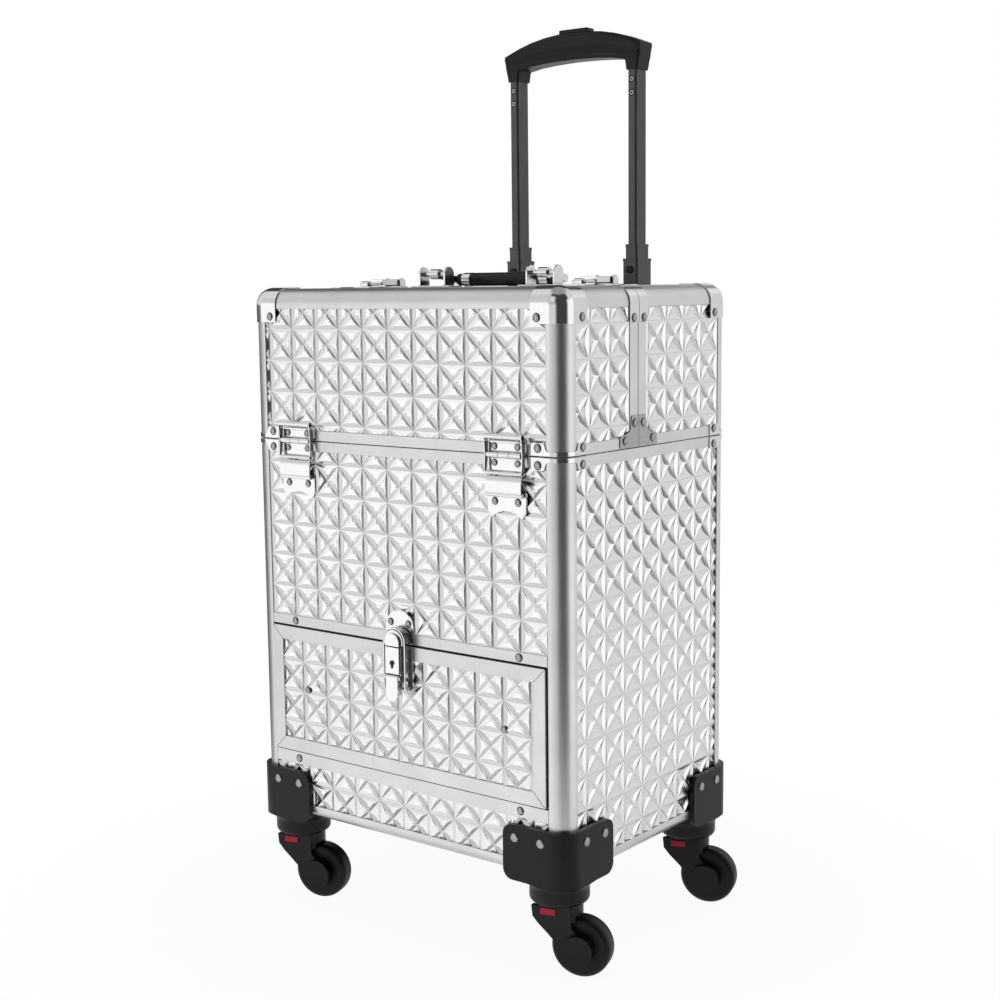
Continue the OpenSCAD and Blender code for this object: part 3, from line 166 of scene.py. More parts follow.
def embossed_foil():
    """Silver polyester film pressed over board: a bright metal with a fine orange-peel, and a
    row of stitch marks rolled into every ridge, each darkened by painted shade."""
    material, tree, surface = new_material("embossed_foil", Metallic=1.0)
    peel = noise(tree, 0.9, 4.0)
    place = add(tree, "ShaderNodeUVMap", {"uv_map": "stitch"})
    split = add(tree, "ShaderNodeSeparateXYZ", inputs={"Vector": (place, 0)})
    turns = maths(tree, "MULTIPLY", (split, "X"), 2 * math.pi / STITCH_PITCH)
    beat = maths(tree, "SINE", (turns, 0))
    near = eased(tree, split, "Y", 0.35, 0.95, 1.0, 0.0)
    marks = maths(tree, "MULTIPLY", (beat, 0), (near, 0))
    # painted shade: each stitch mark's colour darkens towards #6E6F71, standing for the shade in its
    # dimple
    dimple_shade = ramp_of(tree, marks, 0.0, 0.35, 0.1, 0.9)
    tone = ramp_of(tree, peel, linear("#EDEDEE"), linear("#F8F8F8"), 0.35, 0.65)
    shade = add(tree, "ShaderNodeMix", {"data_type": "RGBA"}, {
        "Factor": (dimple_shade, 0), "A": (tone, 0), "B": linear("#6E6F71")})
    coated(tree, surface, shade, ramp_of(tree, peel, 0.16, 0.26), "Result")
    height = maths(tree, "MULTIPLY_ADD", (marks, 0), -1.2, (peel, 0))
    bumped(tree, surface, height, 0.35, 0.06)
    return material


def nickel_plate():
    """Bright nickel over pressed steel: mirror-like, with a little drag from polishing, and
    painted shade darkening it where it comes close to another piece."""
    material, tree, surface = new_material("nickel_plate", Metallic=1.0)
    drag = noise(tree, (0.25, 0.25, 1.2), 3.0)
    tone = ramp_of(tree, drag, linear("#E4E3E2"), linear("#ECEBEA"))
    # painted shade: ambient occlusion darkens the colour in crevices and next to other pieces
    near = add(tree, "ShaderNodeAmbientOcclusion", {"samples": 4}, {"Distance": 2.0 * MM})
    depth = ramp_of(tree, near, linear("#50504F"), WHITE, 0.25, 0.85, "AO")
    crevice_shaded = add(tree, "ShaderNodeMix", {"data_type": "RGBA", "blend_type": "MULTIPLY"}, {
        "Factor": 1.0, "A": (tone, 0), "B": (depth, 0)})
    coated(tree, surface, crevice_shaded, ramp_of(tree, drag, 0.12, 0.16), "Result")
    return material


def brushed_zinc():
    """Zinc-plated steel strip: duller and greyer than nickel, with short brush marks."""
    material, tree, surface = new_material("brushed_zinc", Metallic=1.0)
    marks = noise(tree, (2.0, 0.08, 2.0), 3.0)
    tone = ramp_of(tree, marks, linear("#A9A9A8"), linear("#C2C2C1"))
    coated(tree, surface, tone, ramp_of(tree, marks, 0.28, 0.42))
    bumped(tree, surface, marks, 0.15, 0.02)
    return material


def moulded(name, dark, light, rough_low, rough_high, grain_mm=0.8, strength=0.25):
    """A moulded plastic or rubber with the fine spark-eroded grain of its mould."""
    material, tree, surface = new_material(name, Specular_IOR_Level=0.28)
    spark = noise(tree, 1 / grain_mm, 3.0)
    tone = ramp_of(tree, noise(tree, 0.05, 2.0), linear(dark), linear(light))
    coated(tree, surface, tone, ramp_of(tree, spark, rough_low, rough_high))
    bumped(tree, surface, spark, strength, 0.06)
    return material


def black_anodised_tube():
    """Drawn aluminium tube, anodised dark grey: a satin metal with lines along its length."""
    material, tree, surface = new_material("black_anodised_tube", Metallic=0.85)
    lines = noise(tree, (2.5, 2.5, 0.03), 2.0)
    tone = ramp_of(tree, lines, linear("#4C4D50"), linear("#5A5B5E"))
    coated(tree, surface, tone, ramp_of(tree, lines, 0.30, 0.42))
    bumped(tree, surface, lines, 0.1, 0.02)
    return material


def flocked_lining():
    """Short nylon flock on the boards' inner side: dark, matt, and soft at grazing angles."""
    material, tree, surface = new_material(
        "flocked_lining", Roughness=0.95, Sheen_Weight=0.35, Sheen_Roughness=0.5)
    fibres = noise(tree, 1.4, 5.0)
    tone = ramp_of(tree, fibres, linear("#232326"), linear("#343438"), 0.35, 0.65)
    tree.links.new(tone.outputs[0], surface.inputs["Base Color"])
    bumped(tree, surface, fibres, 0.6, 0.2)
    return material


def painted_shade_black():
    """Painted shade, nearly black and matt: round the foot of each rivet head, over the keyhole
    and in the screws' sockets.
    """
    material, tree, surface = new_material("painted_shade_black", Metallic=0.3)
    specks = noise(tree, 1.5, 2.0)
    tone = ramp_of(tree, specks, linear("#2C2C2C"), linear("#454545"))
    coated(tree, surface, tone, ramp_of(tree, specks, 0.5, 0.7))
    return material


def rivet_steel():
    """Heads of nickel-plated steel rivets: darker than the plates and hammered a little matt."""
    material, tree, surface = new_material("rivet_steel", Metallic=1.0)
    blows = noise(tree, 0.9, 2.0)
    tone = ramp_of(tree, blows, linear("#9C9C9C"), linear("#B0B0B0"))
    coated(tree, surface, tone, ramp_of(tree, blows, 0.2, 0.3))
    return material


ALUMINIUM = anodised_aluminium()
PAINTED_SHADE = painted_shade_black()
RIVET_STEEL = rivet_steel()
FOIL = embossed_foil()
NICKEL = nickel_plate()
ZINC = brushed_zinc()
# the ABS and nylon mouldings keep a slight gloss; the castor tread is duller
BLACK_ABS = moulded("black_abs", "#09090A", "#101011", 0.30, 0.42)
BLACK_NYLON = moulded("black_nylon", "#08080A", "#0F0F10", 0.28, 0.40, grain_mm=0.6)
TREAD_RUBBER = moulded("tread_rubber", "#0D0D0E", "#141415", 0.36, 0.50, grain_mm=0.5)
RED_ABS = moulded("red_abs", "#B32534", "#C4303F", 0.30, 0.40, grain_mm=0.4, strength=0.1)
TRAY_ABS = moulded("tray_abs", "#39393C", "#454548", 0.34, 0.48)
SOFT_VINYL = moulded("soft_vinyl", "#141415", "#1D1D1F", 0.30, 0.42, grain_mm=0.5, strength=0.15)
TUBE = black_anodised_tube()
FLOCK = flocked_lining()


# ------------------------------ making pieces


def shown_object(name, data):
    thing = bpy.data.objects.new(name, data)
    bpy.context.scene.collection.objects.link(thing)
    return thing


def finish_piece(name, bm, body, materials, replaced=(), smooth=32):
    """Turns a millimetre mesh of the case's frame into a piece that rides on a body. Edges
    sharper than smooth, in degrees, stay sharp."""
    bmesh.ops.recalc_face_normals(bm, faces=bm.faces)
    bm.transform(TO_ROW)
    data = bpy.data.meshes.new(name)
    bm.to_mesh(data)
    bm.free()
    for material in materials if isinstance(materials, (list, tuple)) else [materials]:
        data.materials.append(material)
    data.shade_smooth()
    data.set_sharp_from_angle(angle=math.radians(smooth))
    piece = shown_object(name, data)
    weighted = piece.modifiers.new("normals", "WEIGHTED_NORMAL")
    weighted.keep_sharp = True
    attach(piece, body)
    if replaced:
        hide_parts(*replaced)
    return piece


CORNER_R = 10.0  # the CAD's outer radius
FULLER = 4.5  # and how much larger the drawn one is
WRAP = 5.0  # what lies this close outside a corner moves with it


def rolled_fuller(bm):
    """Widens the roll of the case's upright and top corners, and of whatever wraps round them,
    to nearly the whole leg of the extrusion."""
    for v in bm.verts:
        walls = [CASE_HW - abs(v.co.x), min(v.co.y, CASE_D - v.co.y), TOP_Z - v.co.z]
        rolled = [w < CORNER_R + 0.02 for w in walls]
        inside = [min(0.0, w - CORNER_R) for w in walls]
        reach = math.hypot(*inside)
        if sum(rolled) < 2 or not CORNER_R - 0.2 < reach < CORNER_R + WRAP:
            continue
        moved = [FULLER + i / reach * FULLER if r else 0.0 for i, r in zip(inside, rolled)]
        v.co.x -= math.copysign(moved[0], v.co.x)
        v.co.y += moved[1] if v.co.y < CASE_D / 2 else -moved[1]
        v.co.z -= moved[2]


def loose_parts(bm):
    """The separate parts of a mesh, each as its list of corners."""
    left, parts = set(bm.verts), []
    while left:
        part, fresh = set(), [left.pop()]
        while fresh:
            v = fresh.pop()
            part.add(v)
            fresh += [w for e in v.link_edges for w in e.verts if w in left]
            left.difference_update(fresh)
        parts.append(list(part))
    return parts


def cad_mesh(node):
    """A CAD node's mesh in the case's frame, as a copy."""
    bm = bmesh.new()
    bm.from_mesh(NODES[node].data)
    bm.transform(TO_ROW.inverted())
    bmesh.ops.remove_doubles(bm, verts=bm.verts, dist=0.002)
    return bm


def broken_edges(bm, angle, width, segments):
    """Rounds the edges that are sharper than an angle in degrees."""
    sharp = [e for e in bm.edges
             if len(e.link_faces) == 2 and e.calc_face_angle(0) > math.radians(angle)]
    bmesh.ops.bevel(bm, geom=sharp, offset=width, segments=segments, profile=0.5,
                    affect="EDGES", clamp_overlap=True)


def softened(node, body, material, width, segments=2, fuller=False, above=None):
    """The CAD shape with its sharp edges rounded, as cast or moulded edges are. Parts that lie
    wholly below a given height are left out."""
    bm = cad_mesh(node)
    if above:
        low = [v for part in loose_parts(bm) if max(v.co.z for v in part) < above for v in part]
        bmesh.ops.delete(bm, geom=low, context="VERTS")
    bmesh.ops.dissolve_limit(bm, angle_limit=math.radians(0.6), verts=bm.verts, edges=bm.edges)
    if fuller:
        rolled_fuller(bm)
    broken_edges(bm, 28, width, segments)
    return finish_piece(node + "_soft", bm, body, material, [node], smooth=38)


def pressed(name, bm, body, materials, replaced, edge, segments=2):
    """A drawn shape whose sharp edges are all broken by the press, the die or the mould."""
    bmesh.ops.recalc_face_normals(bm, faces=bm.faces)
    broken_edges(bm, 32, edge, segments)
    return finish_piece(name, bm, body, materials, replaced, smooth=40)


def add_box(bm, lo, hi, material=0):
    """A box between two corners."""
    corners = [bm.verts.new((x, y, z))
               for z in (lo[2], hi[2]) for y in (lo[1], hi[1]) for x in (lo[0], hi[0])]
    for loop in ((0, 2, 3, 1), (4, 5, 7, 6), (0, 1, 5, 4), (2, 6, 7, 3), (0, 4, 6, 2), (1, 3, 7, 5)):
        bm.faces.new([corners[i] for i in loop]).material_index = material


def rounded(corners, radius, steps=4):
    """An outline with its corners rounded; a corner may carry its own radius as a third number."""
    outline = []
    for i, corner in enumerate(corners):
        here = Vector(corner[:2])
        r = corner[2] if len(corner) > 2 else radius
        before = Vector(corners[i - 1][:2]) - here
        after = Vector(corners[(i + 1) % len(corners)][:2]) - here
        reach = min(r / math.tan(before.angle(after) / 2), before.length * 0.49, after.length * 0.49)
        if reach < 0.01:
            outline.append(tuple(here))
            continue
        start, end = here + before.normalized() * reach, here + after.normalized() * reach
        for k in range(steps + 1):
            t = k / steps
            outline.append(tuple(start * (1 - t) ** 2 + here * 2 * t * (1 - t) + end * t**2))
    return outline


def prism(bm, outline, place, low, high):
    """A flat shape given thickness: place turns (u, v, height) into a point."""
    loops = [[bm.verts.new(place(u, v, h)) for u, v in outline] for h in (low, high)]
    n = len(outline)
    for i in range(n):
        bm.faces.new([loops[0][i], loops[0][(i + 1) % n], loops[1][(i + 1) % n], loops[1][i]])
    bm.faces.new(loops[0][::-1])
    bm.faces.new(loops[1])


def loft(bm, sections):
    """A skin over a row of outlines with the same number of corners, closed at both ends."""
    rings = [[bm.verts.new(point) for point in section] for section in sections]
    n = len(rings[0])
    for one, two in zip(rings, rings[1:]):
        for k in range(n):
            bm.faces.new([one[k], one[(k + 1) % n], two[(k + 1) % n], two[k]])
    bm.faces.new(rings[0])
    bm.faces.new(rings[-1][::-1])


def rod(bm, start, end, radius, sides, material=0):
    """A round bar between two points."""
    start, end = Vector(start), Vector(end)
    lie = (end - start).to_track_quat("Z", "Y").to_matrix().to_4x4()
    where = Matrix.Translation((start + end) / 2) @ lie
    made = bmesh.ops.create_cone(bm, cap_ends=True, segments=sides, radius1=radius, radius2=radius,
                                 depth=(end - start).length, matrix=where)["verts"]
    for face in {f for v in made for f in v.link_faces}:
        face.material_index = material


def cross_rod(bm, start_x, end_x, y, z, radius, sides):
    """A round bar that lies from left to right."""
    rod(bm, (start_x, y, z), (end_x, y, z), radius, sides)


def dome(bm, foot, way, radius, height):
    """A domed rivet head standing on a surface, with a ring of painted shade round its foot. A piece
    that has one takes the steel as its first material and the painted shade as its second."""
    turn = Vector(way).to_track_quat("Z", "Y").to_matrix().to_4x4()
    where = Matrix.Translation(foot) @ turn
    # out in radii, up in heights (in millimetres for the ring), and the material
    # the first three rings, in the second material, make the ring of painted shade round the foot
    profile = ((1.16, -0.3, 1), (1.16, 0.06, 1), (0.97, 0.06, 1), (1.0, 0.3, 0), (0.95, 0.55, 0),
               (0.8, 0.8, 0), (0.52, 0.95, 0), (0.2, 1.0, 0))
    sides = 18
    turns = [2 * math.pi * k / sides for k in range(sides)]
    rings = []
    for out, up, _ in profile:
        z = up * height if up > 0.1 else up
        rings.append([bm.verts.new(where @ Vector((math.cos(t) * radius * out,
                                                   math.sin(t) * radius * out, z)))
                      for t in turns])
    for ring, above, (_, _, material) in zip(rings, rings[1:], profile[1:]):
        for k in range(sides):
            face = bm.faces.new([ring[k], ring[(k + 1) % sides], above[(k + 1) % sides], above[k]])
            face.material_index = material
    bm.faces.new(rings[0][::-1]).material_index = 1
    bm.faces.new(rings[-1])


def front(x):
    """Places a shape on the case's front, round a middle x; height stands out from it."""
    return lambda u, v, h: (x + u, -h, v)


# ------------------------------ star-embossed boards

STAR_W = 27.9
STAR_H = 27.8
# heights over the board's face
RIDGE = 1.0
CELL_HEART = 0.85
PETAL_EDGE = -0.35
LEAF_EDGE = -0.4
CELL_FLOOR = -0.55
SKIRT = -1.3
# outlines: share of the ridge's length, and half width there
PETAL = ((0.12, 1.9), (0.3, 3.1), (0.5, 3.6), (0.7, 3.1), (0.88, 1.9))
LEAF = ((0.2, 1.4), (0.42, 2.6), (0.62, 3.2), (0.8, 2.8), (0.92, 1.5))
UNSTITCHED = (0.0, 9.0)  # where a face has no stitching: far off any ridge


def star_cell(relief, stitch, stars, middle):
    """One cell between four stars. A straight ridge joins each two neighbours, and one runs from
    each star to the middle; each ridge stands on a leaf-shaped petal with a nearly flat facet
    between. Each corner of a face keeps its distance along and off its ridge, which is where the
    stitching runs."""
    verts = {}

    def vert(u, v, h):
        key = (round(u, 4), round(v, 4))
        if key not in verts:
            verts[key] = relief.verts.new((u, v, h))
        return verts[key]

    def face(corners):
        made = relief.faces.new([vert(*place) for place, _ in corners])
        for loop, (_, mark) in zip(made.loops, corners):
            loop[stitch].uv = mark

    def petal(a, b, side, start, end, outline, edge):
        """Half a petal: its ridge from a to b, its outline on the given side."""
        length = math.dist(a, b)
        along = ((b[0] - a[0]) / length, (b[1] - a[1]) / length)
        off = (-along[1] * side, along[0] * side)
        root, tip = (*a, start), (*b, end)
        rim = [(a[0] + along[0] * t * length + off[0] * w, a[1] + along[1] * t * length + off[1] * w,
                start + (end - start) * t - (start - edge) * w / outline[2][1]) for t, w in outline]
        marks = [(t * length, w) for t, w in outline]
        face([(root, (0, 0)), (tip, (length, 0)), *zip(rim[::-1], marks[::-1])])
        return rim

    for k in range(4):
        a, b = stars[k], stars[(k + 1) % 4]
        half = ((a[0] + b[0]) / 2, (a[1] + b[1]) / 2)
        turn = 1 if (b[0] - a[0]) * (middle[1] - a[1]) > (b[1] - a[1]) * (middle[0] - a[0]) else -1
        near = petal(a, b, turn, RIDGE, RIDGE, PETAL, PETAL_EDGE)
        left = petal(a, middle, -turn, RIDGE, CELL_HEART, LEAF, LEAF_EDGE)
        right = petal(b, middle, turn, RIDGE, CELL_HEART, LEAF, LEAF_EDGE)
        floor = ((half[0] + middle[0]) / 2, (half[1] + middle[1]) / 2, CELL_FLOOR)
        ring = [(*a, RIDGE), *near, (*b, RIDGE), *right, (*middle, CELL_HEART), *left[::-1]]
        for p, q in zip(ring, ring[1:] + ring[:1]):
            face([(p, UNSTITCHED), (q, UNSTITCHED), (floor, UNSTITCHED)])


def star_relief(bm, u0, u1, v0, v1, star, place, pitch):
    """Presses the star pattern into a rectangle. u runs right and v up, seen from outside;
    place turns (u, v, height) into a point. star is where one star lies, and pitch how far it
    is to the next ones."""
    relief = bmesh.new()
    u_star, v_star = star
    u_pitch, v_pitch = pitch
    stitch = relief.loops.layers.uv.new("stitch")
    for i in range(math.floor((u0 - u_star) / u_pitch), math.ceil((u1 - u_star) / u_pitch)):
        for j in range(math.floor((v0 - v_star) / v_pitch), math.ceil((v1 - v_star) / v_pitch)):
            left, low = u_star + i * u_pitch, v_star + j * v_pitch
            right, high = left + u_pitch, low + v_pitch
            star_cell(relief, stitch, [(left, low), (right, low), (right, high), (left, high)],
                      (left + u_pitch / 2, low + v_pitch / 2))
    bmesh.ops.remove_doubles(relief, verts=relief.verts, dist=0.01)
    inset = 0.05
    for point, normal in (((u0 + inset, 0, 0), (-1, 0, 0)), ((u1 - inset, 0, 0), (1, 0, 0)),
                          ((0, v0 + inset, 0), (0, -1, 0)), ((0, v1 - inset, 0), (0, 1, 0))):
        bmesh.ops.bisect_plane(relief, geom=relief.verts[:] + relief.edges[:] + relief.faces[:],
                               plane_co=point, plane_no=normal, clear_outer=True)
    # the pressed film is a closed skin: its border drops behind the board's face
    border = [e for e in relief.edges if e.is_boundary]
    grown = bmesh.ops.extrude_edge_only(relief, edges=border)["geom"]
    for v in [g for g in grown if isinstance(g, bmesh.types.BMVert)]:
        v.co.z = SKIRT
    bmesh.ops.holes_fill(relief, edges=[e for e in relief.edges if e.is_boundary], sides=0)
    marks = bm.loops.layers.uv.get("stitch") or bm.loops.layers.uv.new("stitch")
    table = {v: bm.verts.new(place(*v.co)) for v in relief.verts}
    for face in relief.faces:
        made = bm.faces.new([table[v] for v in face.verts])
        for new, old in zip(made.loops, face.loops):
            new[marks].uv = old[stitch].uv if abs(face.normal.z) > 0.3 else UNSTITCHED
    relief.free()


FACE = 1.55  # the board's face lies this deep in the frame
BOARD = 3.9  # and the board is this thick


def star_board(bm, wall, u0, u1, v0, v1, star, cover, pitch=(STAR_W, STAR_H)):
    """One covered board. wall names the side it stands on, the rectangle is what shows between
    the frame's lips, star is where one star lies, and cover is how far the board reaches under
    the lips at the left, right, bottom and top."""
    places = {
        "front": lambda u, v, h: (u, FACE - h, v),
        "back": lambda u, v, h: (-u, CASE_D - FACE + h, v),
        "right": lambda u, v, h: (CASE_HW - FACE + h, u, v),
        "left": lambda u, v, h: (-CASE_HW + FACE - h, -u, v),
        "top": lambda u, v, h: (u, v, TOP_Z - FACE + h),
    }
    place = places[wall]
    star_relief(bm, u0, u1, v0, v1, star, place, pitch)
    a = Vector(place(u0 - cover[0], v0 - cover[2], SKIRT))
    b = Vector(place(u1 + cover[1], v1 + cover[3], -BOARD))
    lo = [min(a[i], b[i]) for i in range(3)]
    hi = [max(a[i], b[i]) for i in range(3)]
    add_box(bm, lo, hi, 1)


LEG = 17.0  # of the corner extrusion, on each wall
POST_COVER = 5.9  # board hidden in a corner extrusion
GROOVE = 4.95  # board hidden in a rail
IN_POSTS = (POST_COVER, POST_COVER, GROOVE, GROOVE)
IN_GROOVES = (GROOVE,) * 4
SEAM_RAIL = 9.0
SPLIT_RAIL = 12.0
TOP_RAIL = 17.5
BOTTOM_RAIL = 12.0
# the edges of what shows of the boards
OPEN_HW = CASE_HW - LEG
BACK_LEG_Y = CASE_D - LEG
LID_END_Y = SPLIT_Y - SPLIT_RAIL
REAR_START_Y = REAR_Y + SPLIT_RAIL
BOTTOM_Z = GROUND_Z + BOTTOM_RAIL
RAIL_LOW = box_mm("drawer_rails")[0][2]
RAIL_HIGH = box_mm("drawer_rails")[1][2]
SEAM_RAIL_Z = SEAM_Z - SEAM_RAIL
UPPER_RAIL_Z = UPPER_Z + SEAM_RAIL
TOP_RAIL_Z = TOP_Z - TOP_RAIL
# from star to star where it isn't STAR_W and STAR_H, and the height of one star
LID_PITCH = (27.68, 27.5)
SIDE_PITCH = (27.3, 28.1)
LID_STAR_Z = 522.1
LID_SIDE_STAR_Z = 527.7
BASE_STAR_Z = 336.0

lower = bmesh.new()
star_board(lower, "front", -OPEN_HW, OPEN_HW, BOTTOM_Z, RAIL_LOW, (-0.5, 116.5), IN_POSTS)
star_board(lower, "front", -OPEN_HW, OPEN_HW, RAIL_HIGH, SEAM_RAIL_Z, (71.0, 377.8), IN_POSTS)
star_board(lower, "back", -OPEN_HW, OPEN_HW, BOTTOM_Z, SEAM_RAIL_Z, (0.0, BASE_STAR_Z), IN_POSTS)
star_board(lower, "right", LEG, BACK_LEG_Y, BOTTOM_Z, SEAM_RAIL_Z, (29.2, BASE_STAR_Z),
           IN_POSTS, SIDE_PITCH)
star_board(lower, "left", -BACK_LEG_Y, -LEG, BOTTOM_Z, SEAM_RAIL_Z, (-29.2, BASE_STAR_Z),
           IN_POSTS, SIDE_PITCH)
finish_piece("lower_star_boards", lower, "case", [FOIL, FLOCK], ["base_panels"], smooth=4)


def lid_sides(bm, near, far, star_y, covers):
    """The upper boards on both side walls, between two depths, with their covers there."""
    star_board(bm, "right", near, far, UPPER_RAIL_Z, TOP_RAIL_Z, (star_y, LID_SIDE_STAR_Z),
               (*covers, GROOVE, GROOVE), LID_PITCH)
    star_board(bm, "left", -far, -near, UPPER_RAIL_Z, TOP_RAIL_Z, (-star_y, LID_SIDE_STAR_Z),
               (*covers[::-1], GROOVE, GROOVE), LID_PITCH)


front_top = bmesh.new()
star_board(front_top, "front", -OPEN_HW, OPEN_HW, UPPER_RAIL_Z, TOP_RAIL_Z, (-9.7, LID_STAR_Z),
           IN_POSTS, LID_PITCH)
lid_sides(front_top, LEG, LID_END_Y, 35.4, (POST_COVER, GROOVE))
star_board(front_top, "top", -OPEN_HW, OPEN_HW, LEG, LID_END_Y, (0.0, 35.0), IN_GROOVES)
finish_piece("front_top_star_boards", front_top, "front_top", [FOIL, FLOCK], ["front_top_panels"],
             smooth=4)

rear_top = bmesh.new()
star_board(rear_top, "back", -OPEN_HW, OPEN_HW, UPPER_RAIL_Z, TOP_RAIL_Z, (0.0, LID_STAR_Z), IN_POSTS)
lid_sides(rear_top, REAR_START_Y, BACK_LEG_Y, 118.4, (GROOVE, POST_COVER))
star_board(rear_top, "top", -OPEN_HW, OPEN_HW, REAR_START_Y, BACK_LEG_Y, (0.0, 146.0), IN_GROOVES)
finish_piece("rear_top_star_boards", rear_top, "case", [FOIL, FLOCK], ["rear_top_panels"],
             smooth=4)

DRAWER_LO, DRAWER_HI = box_mm("drawer_front_frame")
PANEL_LO, PANEL_HI = box_mm("drawer_panel")
DRAWER_STRIP = 12.0
DRAWER_PITCH = (28.1, STAR_H)
drawer_front = bmesh.new()
star_relief(drawer_front, DRAWER_LO[0] + DRAWER_STRIP, DRAWER_HI[0] - DRAWER_STRIP,
            DRAWER_LO[2] + DRAWER_STRIP, DRAWER_HI[2] - DRAWER_STRIP, (81.6, 227.3),
            lambda u, v, h: (u, PANEL_LO[1] - h, v), DRAWER_PITCH)
add_box(drawer_front, PANEL_LO + Vector((0, -SKIRT, 0)), PANEL_HI)
finish_piece("drawer_star_board", drawer_front, "drawer", FOIL, ["drawer_panel"], smooth=4)

# ------------------------------ frame and fittings

for node, body, width in (("base_frame", "case", 0.5), ("drawer_rails", "case", 0.4),
                          ("rear_top_frame", "case", 0.5), ("front_top_frame", "front_top", 0.5),
                          ("drawer_front_frame", "drawer", 0.4)):
    softened(node, body, ALUMINIUM, width, fuller=True)

for node, body in (("rear_corner_caps", "case"), ("front_corner_caps", "front_top")):
    softened(node, body, NICKEL, 0.4, fuller=True, above=TOP_Z)
for node, body, width in (("toggle_bases", "case", 0.3),
                          ("toggle_keepers", "front_top", 0.3), ("handle_brackets", "case", 0.3),
                          ("drawer_keeper", "case", 0.4), ("drawer_latch_plate", "drawer", 0.4),
                          ("drawer_latch_lever", "drawer_latch_lever", 0.4),
                          ("carry_handle", "carry_handle", 0.5)):
    softened(node, body, NICKEL, width)
for side in ("left", "right"):
    for kind, width in (("toggle_lever", 0.5), ("toggle_loop", 0.1)):
        softened(kind + "_" + side, kind + "_" + side, NICKEL, width)

# ------------------------------ drawer latch

BAIL_LO, BAIL_HI = box_mm("drawer_bail")
BAIL_HALF = (BAIL_HI[0] - BAIL_LO[0]) / 2
BAIL_FOOT_Z = BAIL_LO[2] + 0.6
BAIL_STRIP = 1.7
BAIL_FRONT_Y, BAIL_BACK_Y = -9.6, -4.9
BAIL_PIN_Y = -7.4
BAIL_PIN_Z = BAIL_LO[2] + 2.2
LOCK_Y = box_mm("drawer_latch_plate")[0][1]
LOCK_Z = RAIL_HIGH - 23.6
KEYHOLE_R = 2.1


def arch(half, low, top):
    """An upright strip with a round head."""
    turns = [math.radians(180 * k / 20) for k in range(21)]
    head = [(half * math.cos(t), top - half + half * math.sin(t)) for t in turns]
    return [(half, low), *head, (-half, low)]


hoop = bmesh.new()
outer = arch(BAIL_HALF, BAIL_FOOT_Z, BAIL_HI[2])
inner = arch(BAIL_HALF - BAIL_STRIP, BAIL_FOOT_Z, BAIL_HI[2] - BAIL_STRIP)
lines = ((outer, BAIL_FRONT_Y), (outer, BAIL_BACK_Y), (inner, BAIL_BACK_Y), (inner, BAIL_FRONT_Y))
rows = [[hoop.verts.new((u, y, v)) for u, v in line] for line, y in lines]
for k in range(4):
    one, two = rows[k], rows[(k + 1) % 4]
    for i in range(len(outer) - 1):
        hoop.faces.new([one[i], one[i + 1], two[i + 1], two[i]])
hoop.faces.new([row[0] for row in rows])
hoop.faces.new([row[-1] for row in rows][::-1])
for sign in (-1, 1):
    cross_rod(hoop, sign * 6.4, sign * (BAIL_HALF + 0.9), BAIL_PIN_Y, BAIL_PIN_Z, 1.3, 16)
    cross_rod(hoop, sign * (BAIL_HALF - 2), sign * (BAIL_HALF + 0.5), BAIL_PIN_Y, BAIL_PIN_Z, 2.4, 20)
pressed("drawer_bail_hoop", hoop, "drawer_bail", NICKEL, ["drawer_bail"], 0.5, 3)

# the keyhole is a thin dark plate of painted shade on the lock's face, where the hole would be
keyhole = bmesh.new()
turns = [math.radians(a) for a in range(-160, 161, 16)]
eye = [(KEYHOLE_R * math.sin(t), KEYHOLE_R * math.cos(t)) for t in turns]
prism(keyhole, eye + [(0.75, -4.6), (-0.75, -4.6)],
      lambda u, v, h: (u, LOCK_Y + 0.5 - h, LOCK_Z + v), 0.45, 0.62)
finish_piece("keyhole", keyhole, "drawer", PAINTED_SHADE)

# ------------------------------ seam plates and rivets

PLATE_T = 0.8
PLATE_H = 10.0
PLATE_L = 31.0
BAND_H = 3.6
OFF_WALL = 0.05  # between the foot of a plate and what it lies on
BELOW_SEAM_Z = SEAM_Z - 0.5
ABOVE_SEAM_Z = UPPER_Z + 0.5


def seam_plate(bm, side, back, seam_edge, away):
    """A plate over one corner at the seam: a riveted tab on each wall, joined round the post by
    a narrow band along the seam. seam_edge is the height it starts at, away its direction."""
    roll = CORNER_R + FULLER
    tab = [(PLATE_L, 8.2), (PLATE_L - 0.6, 9.4), (PLATE_L - 2, PLATE_H), (20, PLATE_H), (18.8, 9.6),
           (18.0, 8.4), (17.4, 6.2), (16.6, 4.6), (15.6, BAND_H + 0.3), (roll, BAND_H)]
    path = [(a, None, h) for a, h in tab]
    path += [(None, math.radians(90 * k / 8), BAND_H) for k in range(1, 8)]
    path += [(a, "side", h) for a, h in reversed(tab)]
    rows = []
    for a, turn, h in path:
        row = []
        for out in (PLATE_T, OFF_WALL):
            if turn is None:
                u, v = a, -out
            elif turn == "side":
                u, v = -out, a
            else:
                u = roll - (roll + out) * math.sin(turn)
                v = roll - (roll + out) * math.cos(turn)
            point = (side * (CASE_HW - u), CASE_D - v if back else v)
            row += [bm.verts.new((*point, seam_edge)), bm.verts.new((*point, seam_edge + away * h))]
        rows.append([row[0], row[1], row[3], row[2]])
    for one, two in zip(rows, rows[1:]):
        for k in range(4):
            bm.faces.new([one[k], one[(k + 1) % 4], two[(k + 1) % 4], two[k]])
    bm.faces.new(rows[0])
    bm.faces.new(rows[-1][::-1])


def split_tab(bm, side, edge_y, away):
    """The plate on a side wall beside the split: up the split rail, and along the seam rail."""
    outline = rounded([(0, 0, 0.3), (27, 0, 1.2), (27, 10.5, 4), (18, 11, 3), (12, 13.5, 5),
                       (10, 26, 2.5), (0, 26, 0.3)], 1, 5)
    prism(bm, outline, lambda u, v, h: (side * (CASE_HW + h), edge_y + away * u, ABOVE_SEAM_Z + v),
          OFF_WALL, PLATE_T)


